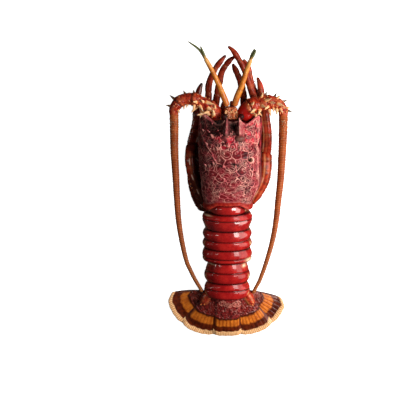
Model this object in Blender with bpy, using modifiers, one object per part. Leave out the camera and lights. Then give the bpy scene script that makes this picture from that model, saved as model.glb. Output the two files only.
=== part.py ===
# Western rock lobster, cooked, lying on its belly: shell, tail, fan, legs and feelers as separate solids.
# The head points to +Y, the back is up. The origin is on the flat of the breast plate, on the middle line.

import math

import bmesh
import bpy
from mathutils import Matrix, Vector

MM = 0.001
GAP = 0.3

# Carapace, in millimetres
SHELL_REAR_Y = -33.6
SHELL_FRONT_Y = 50.0
SHELL_BOTTOM_Z = 12.0
SHELL_WIDEST_Z = 25.0
SHELL_HALF_WIDTH = 29.5
SHELL_TOP_Z = 52.0
SHELL_SHIFT_X = 1.2
SHELL_SIDES = 36
REAR_LEAN = 0.0875
NECK_GROOVE_Y = 15.0
NECK_GROOVE_DEPTH = 1.4
RIM_LENGTH = 5.5
HEAD_SHIFT_X = 4.6
HORN_SPREAD = 7.0
HORN_LENGTH = 19.5
HORN_RADIUS = 6.0
EYE_SPREAD = 9.5
EYE_RADIUS = 3.4
EYE_STALK_RADIUS = 1.9

# Tail rings, front to back: length, and the place of the cross groove as a share of it
RING_LENGTHS = (9.8, 17.1, 19.8, 13.4, 21.3, 14.9)
RING_GROOVES = (0.5, 0.37, 0.53, 0.66, 0.47, 0.48)
RING_GROOVE_DEPTHS = (0.0, 0.8, 0.9, 0.8, 1.5, 0.9)
RING_HALF_WIDTHS = (20.4, 24.2, 23.8, 24.0, 22.0, 22.2)
RING_FLAPS = ((), ((0.36, 0.30),), ((0.22, 0.22), (0.76, 0.22)), ((0.42, 0.36),), ((0.68, 0.30),), ((0.5, 0.36),))
FLAP_SWELL = 2.0
TAIL_TOP_FRONT_Z = 45.0
TAIL_TOP_REAR_Z = 30.5
TAIL_HEM_FRONT_Z = 11.0
TAIL_HEM_REAR_Z = 4.0
RING_ARC_POINTS = 19

# Tail fan, measured from a centre under the last ring
FAN_CENTRE_Y = -124.5
FAN_REACH_BACK = 47.6
FAN_REACH_SIDE = 61.4
FAN_ROOT_REACH = 7.0
FAN_ROOT_Z = 27.2
FAN_RIM_Z = 5.7
FAN_FALL_LENGTH = 45.0
BLADE_THICKNESS = 1.5
LAYER_STEP = 2.1
BLADE_COLUMNS = 8
BLADE_ROWS = 7

# Feelers
WHIP_BASE_RADIUS = 3.9
WHIP_END_RADIUS = 1.6
TUBE_RESOLUTION = 2

# Legs
LEG_JOINTS = (0.13, 0.46, 0.58, 0.84)
LEG_ROOT_Z = 6.2

# Breast plate
PLATE_CHAMFER = 1.6


def clear_scene():
    for item in list(bpy.data.objects):
        bpy.data.objects.remove(item, do_unlink=True)


def make_collection(name):
    group = bpy.data.collections.new(name)
    bpy.context.scene.collection.children.link(group)
    return group


def make_material(name, colour, roughness, metallic=0.0):
    material = bpy.data.materials.new(name)
    material.use_nodes = True
    shader = material.node_tree.nodes["Principled BSDF"]
    shader.inputs["Base Color"].default_value = (*colour, 1.0)
    shader.inputs["Roughness"].default_value = roughness
    shader.inputs["Metallic"].default_value = metallic
    return material


clear_scene()
lobster = make_collection("western_rock_lobster")
helpers = make_collection("joining_pieces")

shell_maroon = make_material("shell_maroon", (0.21, 0.045, 0.05), 0.42)
tail_red = make_material("tail_red", (0.38, 0.015, 0.018), 0.22)
feeler_red = make_material("feeler_red", (0.36, 0.06, 0.03), 0.4)
whip_brown = make_material("whip_brown", (0.34, 0.1, 0.03), 0.5)
feeler_amber = make_material("feeler_amber", (0.5, 0.19, 0.06), 0.45)
leg_brown = make_material("leg_brown", (0.13, 0.025, 0.02), 0.38)
fan_brown = make_material("fan_brown", (0.12, 0.03, 0.015), 0.4)
eye_black = make_material("eye_black", (0.012, 0.01, 0.01), 0.15)
belly_pale = make_material("belly_pale", (0.45, 0.2, 0.1), 0.5)


def metres(points):
    return [Vector(point) * MM for point in points]


def smoothstep(value, low, high):
    share = min(max((value - low) / (high - low), 0.0), 1.0)
    return share * share * (3.0 - 2.0 * share)


def hump(value, centre, width):
    return math.exp(-((value - centre) / width) ** 2)


def mix(first, second, share):
    return first + (second - first) * share


def add_object(name, mesh, material, group=None, smooth=True):
    mesh.name = name
    mesh.materials.clear()
    mesh.materials.append(material)
    if smooth:
        mesh.shade_smooth()
        mesh.set_sharp_from_angle(angle=math.radians(50))
    item = bpy.data.objects.new(name, mesh)
    (group or lobster).objects.link(item)
    return item


def mesh_from(bm):
    bmesh.ops.recalc_face_normals(bm, faces=bm.faces)
    mesh = bpy.data.meshes.new("piece")
    bm.to_mesh(mesh)
    bm.free()
    return mesh


def loft(sections):
    """A closed body: a capped ring of points, extruded from section to section."""
    bm = bmesh.new()
    bmesh.ops.create_circle(bm, cap_ends=True, segments=len(sections[0]), radius=1.0)
    bm.faces.ensure_lookup_table()
    cap = bm.faces[0]
    for loop, point in zip(cap.loops, metres(sections[0])):
        loop.vert.co = point
    for number, section in enumerate(sections[1:]):
        made = bmesh.ops.extrude_face_region(bm, geom=[cap])
        if number > 0:
            bmesh.ops.delete(bm, geom=[cap], context="FACES_ONLY")
        cap = [part for part in made["geom"] if isinstance(part, bmesh.types.BMFace)][0]
        for loop, point in zip(cap.loops, metres(section)):
            loop.vert.co = point
    return mesh_from(bm)


def smooth_route(points, count):
    """Points read evenly from a smooth curve through the given ones; further values ride along."""
    rows = [list(point) for point in points]
    rows = [[2 * a - b for a, b in zip(rows[0], rows[1])]] + rows + [[2 * a - b for a, b in zip(rows[-1], rows[-2])]]
    fine = []
    for index in range(1, len(rows) - 2):
        before, start, end, after = rows[index - 1:index + 3]
        for step in range(24):
            t = step / 24
            fine.append([0.5 * (2 * q + (r - p) * t + (2 * p - 5 * q + 4 * r - s) * t * t
                                + (3 * q - p - 3 * r + s) * t ** 3)
                         for p, q, r, s in zip(before, start, end, after)])
    fine.append(rows[-2])
    lengths = [0.0]
    for first, second in zip(fine, fine[1:]):
        lengths.append(lengths[-1] + (Vector(second[:3]) - Vector(first[:3])).length)
    route = []
    place = 0
    for index in range(count):
        target = lengths[-1] * index / (count - 1)
        while place < len(lengths) - 2 and lengths[place + 1] < target:
            place += 1
        share = (target - lengths[place]) / (lengths[place + 1] - lengths[place])
        route.append([mix(a, b, share) for a, b in zip(fine[place], fine[place + 1])])
    return route


def tube(name, points, radii, material, group=None):
    """A round tube along the points as a mesh, with welded caps."""
    curve = bpy.data.curves.new(name, "CURVE")
    curve.dimensions = "3D"
    curve.bevel_depth = MM
    curve.bevel_resolution = TUBE_RESOLUTION
    curve.use_fill_caps = True
    spline = curve.splines.new("POLY")
    spline.points.add(len(points) - 1)
    for target, point, radius in zip(spline.points, metres(points), radii):
        target.co = (*point, 1.0)
        target.radius = radius
    holder = bpy.data.objects.new(name, curve)
    helpers.objects.link(holder)
    graph = bpy.context.evaluated_depsgraph_get()
    mesh = bpy.data.meshes.new_from_object(holder.evaluated_get(graph))
    bpy.data.objects.remove(holder, do_unlink=True)
    bm = bmesh.new()
    bm.from_mesh(mesh)
    bmesh.ops.remove_doubles(bm, verts=bm.verts, dist=0.00001)
    bpy.data.meshes.remove(mesh)
    return add_object(name, mesh_from(bm), material, group)


def spine(root, direction, length, radius, group, sides=6):
    """A cone from the root point along the direction; its foot reaches back into what carries it."""
    sunk = 0.35 * length
    bm = bmesh.new()
    bmesh.ops.create_cone(bm, cap_ends=True, segments=sides, radius1=radius * MM * 1.2,
                          radius2=0.22 * MM, depth=(length + sunk) * MM)
    heading = Vector(direction).normalized()
    turn = heading.to_track_quat("Z", "Y").to_matrix().to_4x4()
    middle = Vector(root) * MM + heading * (length - sunk) * 0.5 * MM
    bmesh.ops.transform(bm, matrix=Matrix.Translation(middle) @ turn, verts=bm.verts)
    return add_object("spine", mesh_from(bm), feeler_red, group, smooth=False)


def join_into(item, pieces):
    """One union of the item with every piece; the pieces are then removed."""
    union = item.modifiers.new("join", "BOOLEAN")
    union.operation = "UNION"
    union.operand_type = "COLLECTION"
    union.collection = pieces
    union.solver = "EXACT"
    graph = bpy.context.evaluated_depsgraph_get()
    joined = bpy.data.meshes.new_from_object(item.evaluated_get(graph))
    item.modifiers.clear()
    item.data = joined
    for piece in list(pieces.objects):
        bpy.data.objects.remove(piece, do_unlink=True)
    bpy.data.collections.remove(pieces)
    joined.shade_smooth()
    joined.set_sharp_from_angle(angle=math.radians(50))


# Carapace

def shell_lean(y):
    return REAR_LEAN * smoothstep(-y, 0.0, -SHELL_REAR_Y)


def shell_half_width(y):
    rear = mix(24.6, SHELL_HALF_WIDTH, smoothstep(y, SHELL_REAR_Y - 6.0, 8.0))
    front = 3.0 * smoothstep(y, 24.0, SHELL_FRONT_Y)
    rim = 1.9 * smoothstep(SHELL_REAR_Y + RIM_LENGTH - y, -0.5, 2.0)
    return rear - front + rim


def shell_top(y):
    rear = mix(44.0, SHELL_TOP_Z, smoothstep(y, SHELL_REAR_Y - 8.0, 12.0))
    front = 9.5 * smoothstep(y, 28.0, SHELL_FRONT_Y + 6.0)
    rim = 1.0 * smoothstep(SHELL_REAR_Y + RIM_LENGTH - y, -0.5, 2.0)
    return rear - front + rim


def shell_point(y, angle, lift=0.0):
    """A point on the shell: the angle runs from 0 at the right side over the back to 180 at the left."""
    turn = math.radians(angle)
    across = math.cos(turn)
    up = math.sin(turn)
    half_width = shell_half_width(y) + lift
    groove_line = NECK_GROOVE_Y + 9.0 * across * across
    groove = NECK_GROOVE_DEPTH * hump(y, groove_line, 2.2) + 0.9 * hump(y, SHELL_REAR_Y + RIM_LENGTH + 1.0, 1.3)
    if up >= 0.0:
        height = shell_top(y) + lift - SHELL_WIDEST_Z
        x = half_width * math.copysign(abs(across) ** 0.92, across)
        z = SHELL_WIDEST_Z + height * up ** 0.92
        x -= groove * across
        z -= groove * up
    else:
        x = half_width * math.copysign(abs(across) ** 0.55, across)
        z = SHELL_WIDEST_Z - (SHELL_WIDEST_Z - SHELL_BOTTOM_Z) * abs(up) ** 0.75
    x += SHELL_SHIFT_X * smoothstep(y, -28.0, -8.0)
    return (x, y - shell_lean(y) * (z - SHELL_WIDEST_Z), z)


def shell_sections():
    stations = [SHELL_REAR_Y, SHELL_REAR_Y + 1.0, SHELL_REAR_Y + 3.0, SHELL_REAR_Y + 5.0,
                SHELL_REAR_Y + RIM_LENGTH + 1.0, SHELL_REAR_Y + RIM_LENGTH + 3.0]
    stations += [-20.0, -12.0, -4.0, 3.0, 8.0]
    stations += [12.0, 15.0, 18.0, 21.0, 24.5, 30.0, 36.0, 41.0, 45.5, 48.5, SHELL_FRONT_Y]
    return [[shell_point(y, 360.0 * index / SHELL_SIDES) for index in range(SHELL_SIDES)] for y in stations]


def shell_spines(group):
    """Two big horns over the eyes, then rows of smaller spines along the back and sides."""
    for side in (-1, 1):
        root = (HEAD_SHIFT_X + HORN_SPREAD * side, 36.5, 47.0)
        spine(root, (-0.06 * side, 1.0, 0.42), HORN_LENGTH, HORN_RADIUS, group, sides=10)
    rows = ((92.0, 26.0, 4.0, 2.2), (66.0, 34.0, 4.6, 1.9), (124.0, 34.0, 4.6, 1.9),
            (48.0, 26.0, 4.2, 1.8), (136.0, 26.0, 4.2, 1.8), (30.0, 38.0, 4.4, 1.8), (150.0, 38.0, 4.4, 1.8),
            (72.0, 22.0, 3.6, 1.6), (112.0, 22.0, 3.6, 1.6), (60.0, 8.0, 2.8, 1.5), (120.0, 8.0, 2.8, 1.5),
            (80.0, 5.0, 2.6, 1.5), (100.0, 5.0, 2.6, 1.5), (40.0, 5.0, 2.8, 1.5), (140.0, 5.0, 2.8, 1.5))
    for angle, y, length, radius in rows:
        root = Vector(shell_point(y, angle))
        outward = Vector((root.x * 0.03, 0.85, 0.35 + 0.5 * math.sin(math.radians(angle))))
        spine(root, outward, length, radius, group)
    for side, angle in ((1, 6.0), (-1, 174.0)):
        corner = Vector(shell_point(SHELL_FRONT_Y - 1.0, angle, lift=-1.0))
        spine(corner, (0.5 * side, 1.0, 0.1), 6.5, 1.8, group)


def make_shell():
    shell = add_object("carapace", loft(shell_sections()), shell_maroon)
    pieces = make_collection("shell_spines")
    shell_spines(pieces)
    join_into(shell, pieces)


# Tail rings

def tail_share(y):
    return (SHELL_REAR_Y - y) / sum(RING_LENGTHS)


def ring_section(y, half_width, sink):
    """A D-shaped section: a round back, side flaps that hang down, and a shallow hollow between them."""
    share = tail_share(y)
    top = mix(TAIL_TOP_FRONT_Z, TAIL_TOP_REAR_Z, share) - sink
    hem = mix(TAIL_HEM_FRONT_Z, TAIL_HEM_REAR_Z, smoothstep(share, 0.0, 0.75))
    widest = hem + 9.5
    wide = half_width - 0.8 * sink
    points = []
    for index in range(RING_ARC_POINTS):
        turn = math.pi * index / (RING_ARC_POINTS - 1)
        across = math.cos(turn)
        x = wide * math.copysign(abs(across) ** 0.9, across)
        points.append((x, widest + (top - widest) * math.sin(turn) ** 0.95))
    points += [(-wide + 0.9, hem + 2.6), (-wide + 3.4, hem), (-wide + 6.0, hem + 4.5)]
    points += [(0.0, hem + 5.5)]
    points += [(wide - 6.0, hem + 4.5), (wide - 3.4, hem), (wide - 0.9, hem + 2.6)]
    return [(x, y - REAR_LEAN * (z - widest), z) for x, z in points]


def make_ring(number, front, length, groove, groove_depth, half_width, flaps):
    before = groove * length
    after = length - before
    edge_sink = 0.9
    stations = [(share * before, sink) for share, sink in ((0.0, edge_sink), (0.14, 0.25), (0.5, 0.0), (0.84, 0.2))]
    stations.append((before, max(groove_depth, 0.05)))
    stations += [(before + share * after, sink)
                 for share, sink in ((0.16, 0.2), (0.5, 0.0), (0.86, 0.25), (1.0, edge_sink))]
    sections = []
    for along, sink in stations:
        swell = max([hump(along / length, centre, width) for centre, width in flaps], default=0.5)
        wide = half_width + FLAP_SWELL * (swell - 1.0)
        sections.append(ring_section(front - GAP - min(along, length - GAP), wide, sink))
    add_object(f"tail_ring_{number}", loft(sections), tail_red)


def make_tail():
    front = SHELL_REAR_Y
    rows = zip(RING_LENGTHS, RING_GROOVES, RING_GROOVE_DEPTHS, RING_HALF_WIDTHS, RING_FLAPS)
    for number, (length, groove, depth, half_width, flaps) in enumerate(rows, start=1):
        make_ring(number, front, length, groove, depth, half_width, flaps)
        front -= length


# Tail fan

def fan_reach(angle):
    return FAN_REACH_BACK + (FAN_REACH_SIDE - FAN_REACH_BACK) * math.sin(math.radians(angle)) ** 2


def fan_height(reach, layer):
    """The fan's upper face falls from the last ring and levels out at its rim; each layer lies under the last."""
    fall = max(0.0, 1.0 - (reach - FAN_ROOT_REACH) / FAN_FALL_LENGTH)
    return FAN_RIM_Z + (FAN_ROOT_Z - FAN_RIM_Z) * fall ** 1.25 - layer * LAYER_STEP


def make_blade(name, layer, root_start, root_end, first_angle, last_angle, root_thickness, trim=0.0, bulge=0.0):
    """A fan blade: a grid bent between its root line and the fan's rim, then thickened downwards."""
    bm = bmesh.new()
    bmesh.ops.create_grid(bm, x_segments=BLADE_COLUMNS, y_segments=BLADE_ROWS, size=1.0)
    thicknesses = []
    for vert in bm.verts:
        across = 0.5 * (vert.co.x + 1.0)
        along = 0.5 * (vert.co.y + 1.0)
        edge = 2.0 * across - 1.0
        turn = math.radians(mix(first_angle, last_angle, across))
        reach = fan_reach(abs(math.degrees(turn))) * (1.0 - 0.06 * edge ** 6)
        reach *= 1.0 - trim * smoothstep(across, 0.7, 1.0)
        rim = Vector((reach * math.sin(turn), FAN_CENTRE_Y - reach * math.cos(turn)))
        place = mix(mix(Vector(root_start), Vector(root_end), across), rim, along)
        place.y += bulge * math.sin(math.pi * along) * smoothstep(across, 0.5, 1.0)
        distance = math.hypot(place.x, place.y - FAN_CENTRE_Y)
        crown = 0.9 * (1.0 - edge * edge) * math.sin(math.pi * along)
        vert.co = Vector((place.x, place.y, fan_height(distance, layer) + crown)) * MM
        thicknesses.append(BLADE_THICKNESS + (root_thickness - BLADE_THICKNESS) * (1.0 - along) ** 3)
    bmesh.ops.recalc_face_normals(bm, faces=bm.faces)
    mesh = bpy.data.meshes.new(name)
    bm.to_mesh(mesh)
    bm.free()
    if mesh.polygons[0].normal.z < 0.0:
        mesh.flip_normals()
    blade = add_object(name, mesh, fan_brown)
    depth_group = blade.vertex_groups.new(name="wall")
    for index, thickness in enumerate(thicknesses):
        depth_group.add([index], thickness / root_thickness, "REPLACE")
    wall = blade.modifiers.new("thickness", "SOLIDIFY")
    wall.thickness = root_thickness * MM
    wall.offset = -1.0
    wall.vertex_group = depth_group.name


def make_fan():
    make_blade("telson", 0, (-11.4, -133.6), (11.4, -133.6), -16.5, 16.5, 4.0)
    for side, name, lead_angle, trim in ((-1, "left", 85.0, 0.05), (1, "right", 79.5, 0.06)):
        make_blade(f"fan_inner_{name}", 1, (side * 12.2, -132.2), (side * 21.4, -131.4),
                   side * 14.2, side * 52.5, 3.6)
        make_blade(f"fan_outer_{name}", 2, (side * 22.6, -131.2), (side * 23.6, -126.4),
                   side * 50.5, side * lead_angle, 3.2, trim=trim, bulge=0.8)


# Feelers

def make_antenna_base(name, route, spines):
    points = smooth_route(route, 15)
    base = tube(name, [point[:3] for point in points], [point[3] for point in points], feeler_red)
    pieces = make_collection(name + "_spines")
    for share, angle, length, lean in spines:
        place = share * (len(points) - 1)
        index = min(int(place), len(points) - 2)
        here = Vector([mix(a, b, place - index) for a, b in zip(points[index], points[index + 1])][:3])
        ahead = (Vector(points[index + 1][:3]) - Vector(points[index][:3])).normalized()
        sideways = ahead.cross(Vector((0.0, 0.0, 1.0))).normalized()
        upward = sideways.cross(ahead)
        turn = math.radians(angle)
        outward = sideways * math.cos(turn) + upward * math.sin(turn)
        radius = mix(points[index][3], points[index + 1][3], place - index)
        spine(here + outward * radius * 0.86, outward + ahead * lean, length, 0.24 * length + 0.5, pieces)
    join_into(base, pieces)
    return base


def make_antennae():
    right = ((17.6, 51.6, 28.0, 7.6), (17.8, 57.2, 28.2, 8.0), (25.6, 62.8, 29.4, 8.8), (31.0, 64.8, 29.8, 7.4),
             (38.8, 66.4, 30.0, 7.7), (45.5, 65.6, 30.0, 6.2), (50.0, 63.6, 29.8, 6.2), (54.4, 58.6, 29.0, 4.8),
             (54.9, 53.2, 28.0, 4.4))
    left = ((-13.2, 51.4, 28.5, 6.2), (-13.6, 56.6, 28.7, 7.2), (-19.6, 62.2, 29.6, 7.4), (-26.4, 66.0, 30.0, 6.0),
            (-34.0, 69.4, 30.0, 6.6), (-41.4, 69.6, 30.0, 5.6), (-47.6, 67.0, 29.8, 6.0), (-53.0, 60.4, 29.0, 4.9),
            (-53.6, 54.8, 28.0, 4.4))
    # Each spine: place along the base, angle round it, length, forward lean
    right_spines = ((0.27, 60, 6.0, 0.5), (0.34, 110, 7.5, 0.6), (0.36, 30, 5.5, 0.4), (0.47, 75, 7.0, 0.6),
                    (0.5, 150, 6.0, 0.5), (0.62, 20, 7.5, 0.4), (0.64, 95, 6.5, 0.7), (0.72, 160, 6.0, 0.5),
                    (0.78, 50, 7.0, 0.5), (0.86, 120, 5.0, 0.6), (0.9, 200, 5.0, 0.4), (0.42, -20, 5.0, 0.4))
    left_spines = ((0.16, 60, 6.5, 0.5), (0.24, 120, 8.0, 0.5), (0.34, 20, 5.0, 0.4), (0.44, 160, 8.0, 0.4),
                   (0.48, 70, 6.0, 0.6), (0.6, 130, 4.0, 0.5), (0.68, 30, 4.5, 0.5), (0.78, 0, 6.0, 0.5),
                   (0.84, -20, 6.5, 0.4), (0.7, 95, 3.5, 0.5), (0.9, 170, 4.0, 0.4), (0.3, 200, 5.0, 0.4))
    make_antenna_base("antenna_base_right", right, right_spines)
    make_antenna_base("antenna_base_left", left, left_spines)
    whip_right = ((54.9, 52.2, 27.8), (54.9, 44.0, 26.0), (54.4, 18.0, 20.5), (52.9, -13.1, 16.0), (50.9, -33.4, 14.5),
                  (48.9, -53.8, 13.5), (45.4, -74.0, 13.5), (39.9, -94.2, 13.8), (33.2, -113.5, 14.6),
                  (28.9, -122.0, 15.2), (25.6, -128.4, 16.0))
    whip_left = ((-53.6, 53.8, 27.8), (-53.2, 45.0, 26.0), (-53.1, 18.0, 20.5), (-51.6, -13.1, 16.0),
                 (-50.6, -33.4, 14.5), (-49.1, -53.8, 13.5), (-46.1, -74.0, 13.5), (-41.6, -94.2, 13.8),
                 (-37.6, -104.1, 14.2), (-32.6, -114.2, 14.8), (-27.9, -122.0, 15.4), (-25.2, -126.6, 15.9))
    for name, route in (("antenna_whip_right", whip_right), ("antenna_whip_left", whip_left)):
        points = smooth_route(route, 22)
        shares = [index / (len(points) - 1) for index in range(len(points))]
        radii = [mix(WHIP_BASE_RADIUS, WHIP_END_RADIUS, share ** 0.8) for share in shares]
        tube(name, points, radii, whip_brown)


def make_antennule(name, stem, flagella):
    points = smooth_route(stem, 9)
    item = tube(name, [point[:3] for point in points], [point[3] for point in points], feeler_amber)
    pieces = make_collection(name + "_ends")
    for route in flagella:
        ends = smooth_route(route, 6)
        tube("flagellum", [point[:3] for point in ends], [point[3] for point in ends], feeler_amber, pieces)
    join_into(item, pieces)


def make_antennules():
    left_stem = ((-0.4, 62.4, 32.0, 2.6), (-4.2, 72.0, 33.5, 2.7), (-10.0, 86.0, 35.0, 2.4), (-16.5, 99.5, 36.4, 2.1),
                 (-22.6, 110.6, 37.6, 1.8))
    left_ends = (((-21.8, 109.2, 37.5, 1.4), (-27.6, 118.0, 38.4, 1.1), (-33.2, 122.8, 39.0, 0.9),
                  (-39.4, 127.0, 39.4, 0.5)),
                 ((-22.2, 110.0, 38.2, 1.2), (-24.6, 116.4, 39.4, 1.0), (-27.2, 122.4, 40.2, 0.6)))
    make_antennule("antennule_left", left_stem, left_ends)
    right_stem = ((6.0, 62.4, 32.0, 2.7), (9.0, 72.0, 33.5, 2.8), (12.9, 82.0, 35.0, 2.6), (18.4, 99.0, 36.4, 2.2),
                  (22.4, 109.6, 37.6, 1.9))
    right_ends = (((21.8, 108.4, 37.4, 1.4), (23.6, 114.6, 38.2, 1.2), (26.0, 119.8, 38.6, 0.6)),
                  ((22.3, 109.4, 38.4, 1.2), (25.2, 114.4, 39.4, 1.1), (27.4, 119.0, 39.8, 0.6)))
    make_antennule("antennule_right", right_stem, right_ends)


# Legs

def leg_radius(share, base):
    taper = mix(base, base * 0.8, share)
    waist = 1.0 - 0.2 * sum(hump(share, joint, 0.022) for joint in LEG_JOINTS)
    point = mix(1.0, 0.24, smoothstep(share, 0.9, 1.0))
    return taper * waist * point


def make_leg(name, base, count, route):
    points = smooth_route(route, count)
    radii = [leg_radius(index / (count - 1), base) for index in range(count)]
    tube(name, points, radii, leg_brown)


def make_legs():
    """Each route runs from the breast plate to the claw. The pairs aren't mirrored, as the legs lie folded."""
    root = LEG_ROOT_Z
    make_leg("leg_right_1", 4.1, 18, ((11.8, 38.5, root), (15.4, 42.0, 6.2), (16.8, 54.0, 6.6), (16.2, 66.5, 7.5),
                                      (13.4, 83.0, 8.5), (9.4, 93.2, 9.5), (4.8, 103.2, 10.0)))
    make_leg("leg_right_2", 4.0, 21, ((12.8, 28.0, root), (19.5, 30.5, 6.3), (24.4, 44.0, 7.6), (26.4, 59.0, 13.6),
                                      (25.4, 70.9, 17.2), (21.4, 83.5, 19.2), (17.4, 95.8, 20.8),
                                      (11.4, 107.1, 22.0), (5.4, 116.4, 23.0), (0.0, 121.4, 23.5)))
    make_leg("leg_right_3", 3.8, 21, ((14.2, 14.5, root), (22.0, 14.0, 6.2), (29.4, 17.0, 6.2), (32.8, 26.0, 6.3),
                                      (33.8, 38.0, 6.3), (33.8, 49.0, 6.3), (32.2, 63.5, 6.4), (28.0, 72.0, 7.6),
                                      (23.4, 85.3, 10.6), (20.4, 99.7, 13.0), (15.4, 108.0, 14.0)))
    make_leg("leg_right_4", 4.3, 22, ((15.8, 3.0, root), (25.0, 3.0, 6.3), (33.0, 5.5, 7.0), (38.0, 13.0, 9.8),
                                      (39.2, 23.0, 12.6), (38.9, 34.0, 14.4), (37.8, 44.0, 14.8), (36.2, 56.0, 15.2),
                                      (35.0, 64.0, 14.9), (34.0, 71.0, 14.2), (32.2, 81.5, 13.6), (29.4, 90.0, 13.0)))
    make_leg("leg_right_5", 4.8, 22, ((17.4, -8.0, root), (25.0, -10.0, 6.0), (32.6, -9.6, 6.0), (37.8, -4.0, 8.6),
                                      (38.8, -1.4, 14.4), (38.2, -6.0, 17.0), (36.2, -14.0, 16.4),
                                      (33.4, -22.0, 15.0), (30.4, -30.0, 13.8), (28.0, -37.6, 12.8)))
    make_leg("leg_left_1", 3.9, 19, ((-11.8, 38.5, root), (-15.0, 42.0, 6.2), (-13.4, 54.0, 7.4), (-10.8, 69.6, 10.0),
                                     (-8.6, 82.5, 12.0), (-5.6, 95.8, 13.5), (1.4, 106.1, 14.6), (7.2, 110.8, 15.0)))
    make_leg("leg_left_2", 3.9, 20, ((-12.8, 27.0, root), (-19.0, 27.0, 6.3), (-24.4, 32.0, 6.5), (-25.2, 42.0, 7.2),
                                     (-22.6, 55.0, 10.4), (-19.4, 67.3, 13.2), (-18.8, 82.8, 15.0),
                                     (-13.8, 96.1, 16.4), (-7.6, 105.4, 17.2), (-1.8, 112.2, 17.6)))
    make_leg("leg_left_3", 4.2, 19, ((-14.2, 15.5, root), (-22.0, 15.0, 6.3), (-30.2, 18.0, 6.8), (-35.0, 25.0, 8.8),
                                     (-35.0, 33.0, 11.0), (-32.6, 42.0, 12.8), (-31.2, 52.0, 13.4),
                                     (-30.8, 62.0, 13.6), (-28.8, 75.7, 14.2), (-25.6, 84.3, 14.4)))
    make_leg("leg_left_4", 4.4, 21, ((-15.8, 3.5, root), (-24.0, 3.0, 6.4), (-32.0, 5.0, 7.0), (-37.2, 9.5, 9.2),
                                     (-38.8, 12.0, 14.4), (-38.4, 4.0, 17.2), (-37.0, -4.0, 16.8),
                                     (-35.2, -11.0, 15.8), (-33.2, -19.0, 14.6), (-30.6, -28.0, 13.6),
                                     (-28.2, -36.6, 12.8)))
    make_leg("leg_left_5", 4.0, 18, ((-17.4, -8.0, root), (-24.0, -7.0, 6.2), (-30.6, -6.0, 6.2), (-33.4, -12.0, 6.0),
                                     (-31.4, -25.0, 5.2), (-26.8, -37.0, 4.6), (-20.0, -47.0, 4.2)))


# Head front, eyes, mouth legs and breast plate

def oval_section(centre, half_width, half_height, y, sides=16, squareness=0.8):
    points = []
    for index in range(sides):
        turn = 2.0 * math.pi * index / sides
        across = math.cos(turn)
        up = math.sin(turn)
        x = centre[0] + half_width * math.copysign(abs(across) ** squareness, across)
        z = centre[1] + half_height * math.copysign(abs(up) ** squareness, up)
        points.append((x, y, z))
    return points


def make_head_front():
    centre = (2.8, 29.5)
    stations = ((50.3, 6.2, 8.0), (52.0, 6.5, 8.4), (56.0, 6.4, 8.2), (59.5, 6.2, 7.4), (61.4, 5.2, 6.0),
                (62.0, 4.2, 4.8))
    sections = [oval_section(centre, half_width, half_height, y) for y, half_width, half_height in stations]
    plate = add_object("head_front", loft(sections), feeler_red)
    pieces = make_collection("head_front_spines")
    for x in (-2.6, 2.9, 8.2):
        spine((x, 57.0, 36.4), (0.0, 0.5, 0.85), 3.0, 1.1, pieces)
    join_into(plate, pieces)


def make_eye(name, x):
    stalk_start = Vector((mix(HEAD_SHIFT_X, x, 0.8), 50.8, 39.4))
    centre = Vector((x, 54.2, 41.0))
    bm = bmesh.new()
    bmesh.ops.create_uvsphere(bm, u_segments=12, v_segments=8, radius=EYE_RADIUS * MM)
    bmesh.ops.transform(bm, matrix=Matrix.Translation(centre * MM), verts=bm.verts)
    eye = add_object(name, mesh_from(bm), eye_black)
    pieces = make_collection(name + "_stalk")
    stalk_end = mix(stalk_start, centre, 0.9)
    tube("stalk", [stalk_start, stalk_end], [0.5 * EYE_STALK_RADIUS, EYE_STALK_RADIUS], eye_black, pieces)
    join_into(eye, pieces)


def make_mouth_legs():
    for name, side in (("left", -1), ("right", 1)):
        route = ((4.2 * side, 45.2, 5.6), (4.6 * side, 52.0, 6.2), (4.6 * side, 60.0, 8.6), (3.6 * side, 66.0, 11.6))
        points = smooth_route(route, 8)
        tube(f"mouth_leg_{name}", points, [2.9, 3.2, 3.0, 2.6, 2.8, 2.5, 2.0, 0.9], leg_brown)


def make_breast_plate():
    """A flat-bottomed wedge under the shell, narrow in front, that the object rests on."""
    stations = ((44.6, 5.2), (43.0, 6.4), (26.0, 9.6), (8.0, 12.4), (-12.0, 13.4), (-24.0, 12.6), (-28.0, 11.0))
    sections = []
    for y, half_width in stations:
        top = SHELL_BOTTOM_Z - GAP
        flat = half_width - PLATE_CHAMFER
        sections.append([(-half_width, y, PLATE_CHAMFER), (-half_width, y, top), (half_width, y, top),
                         (half_width, y, PLATE_CHAMFER), (flat, y, 0.0), (-flat, y, 0.0)])
    add_object("breast_plate", loft(sections), belly_pale, smooth=False)


make_shell()
make_tail()
make_fan()
make_antennae()
make_antennules()
make_legs()
make_head_front()
make_eye("eye_left", HEAD_SHIFT_X - EYE_SPREAD)
make_eye("eye_right", HEAD_SHIFT_X + EYE_SPREAD)
make_mouth_legs()
make_breast_plate()
bpy.data.collections.remove(helpers)
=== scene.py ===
import math

import bmesh
import bpy
import numpy as np
from mathutils import Matrix, Vector, kdtree


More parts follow.
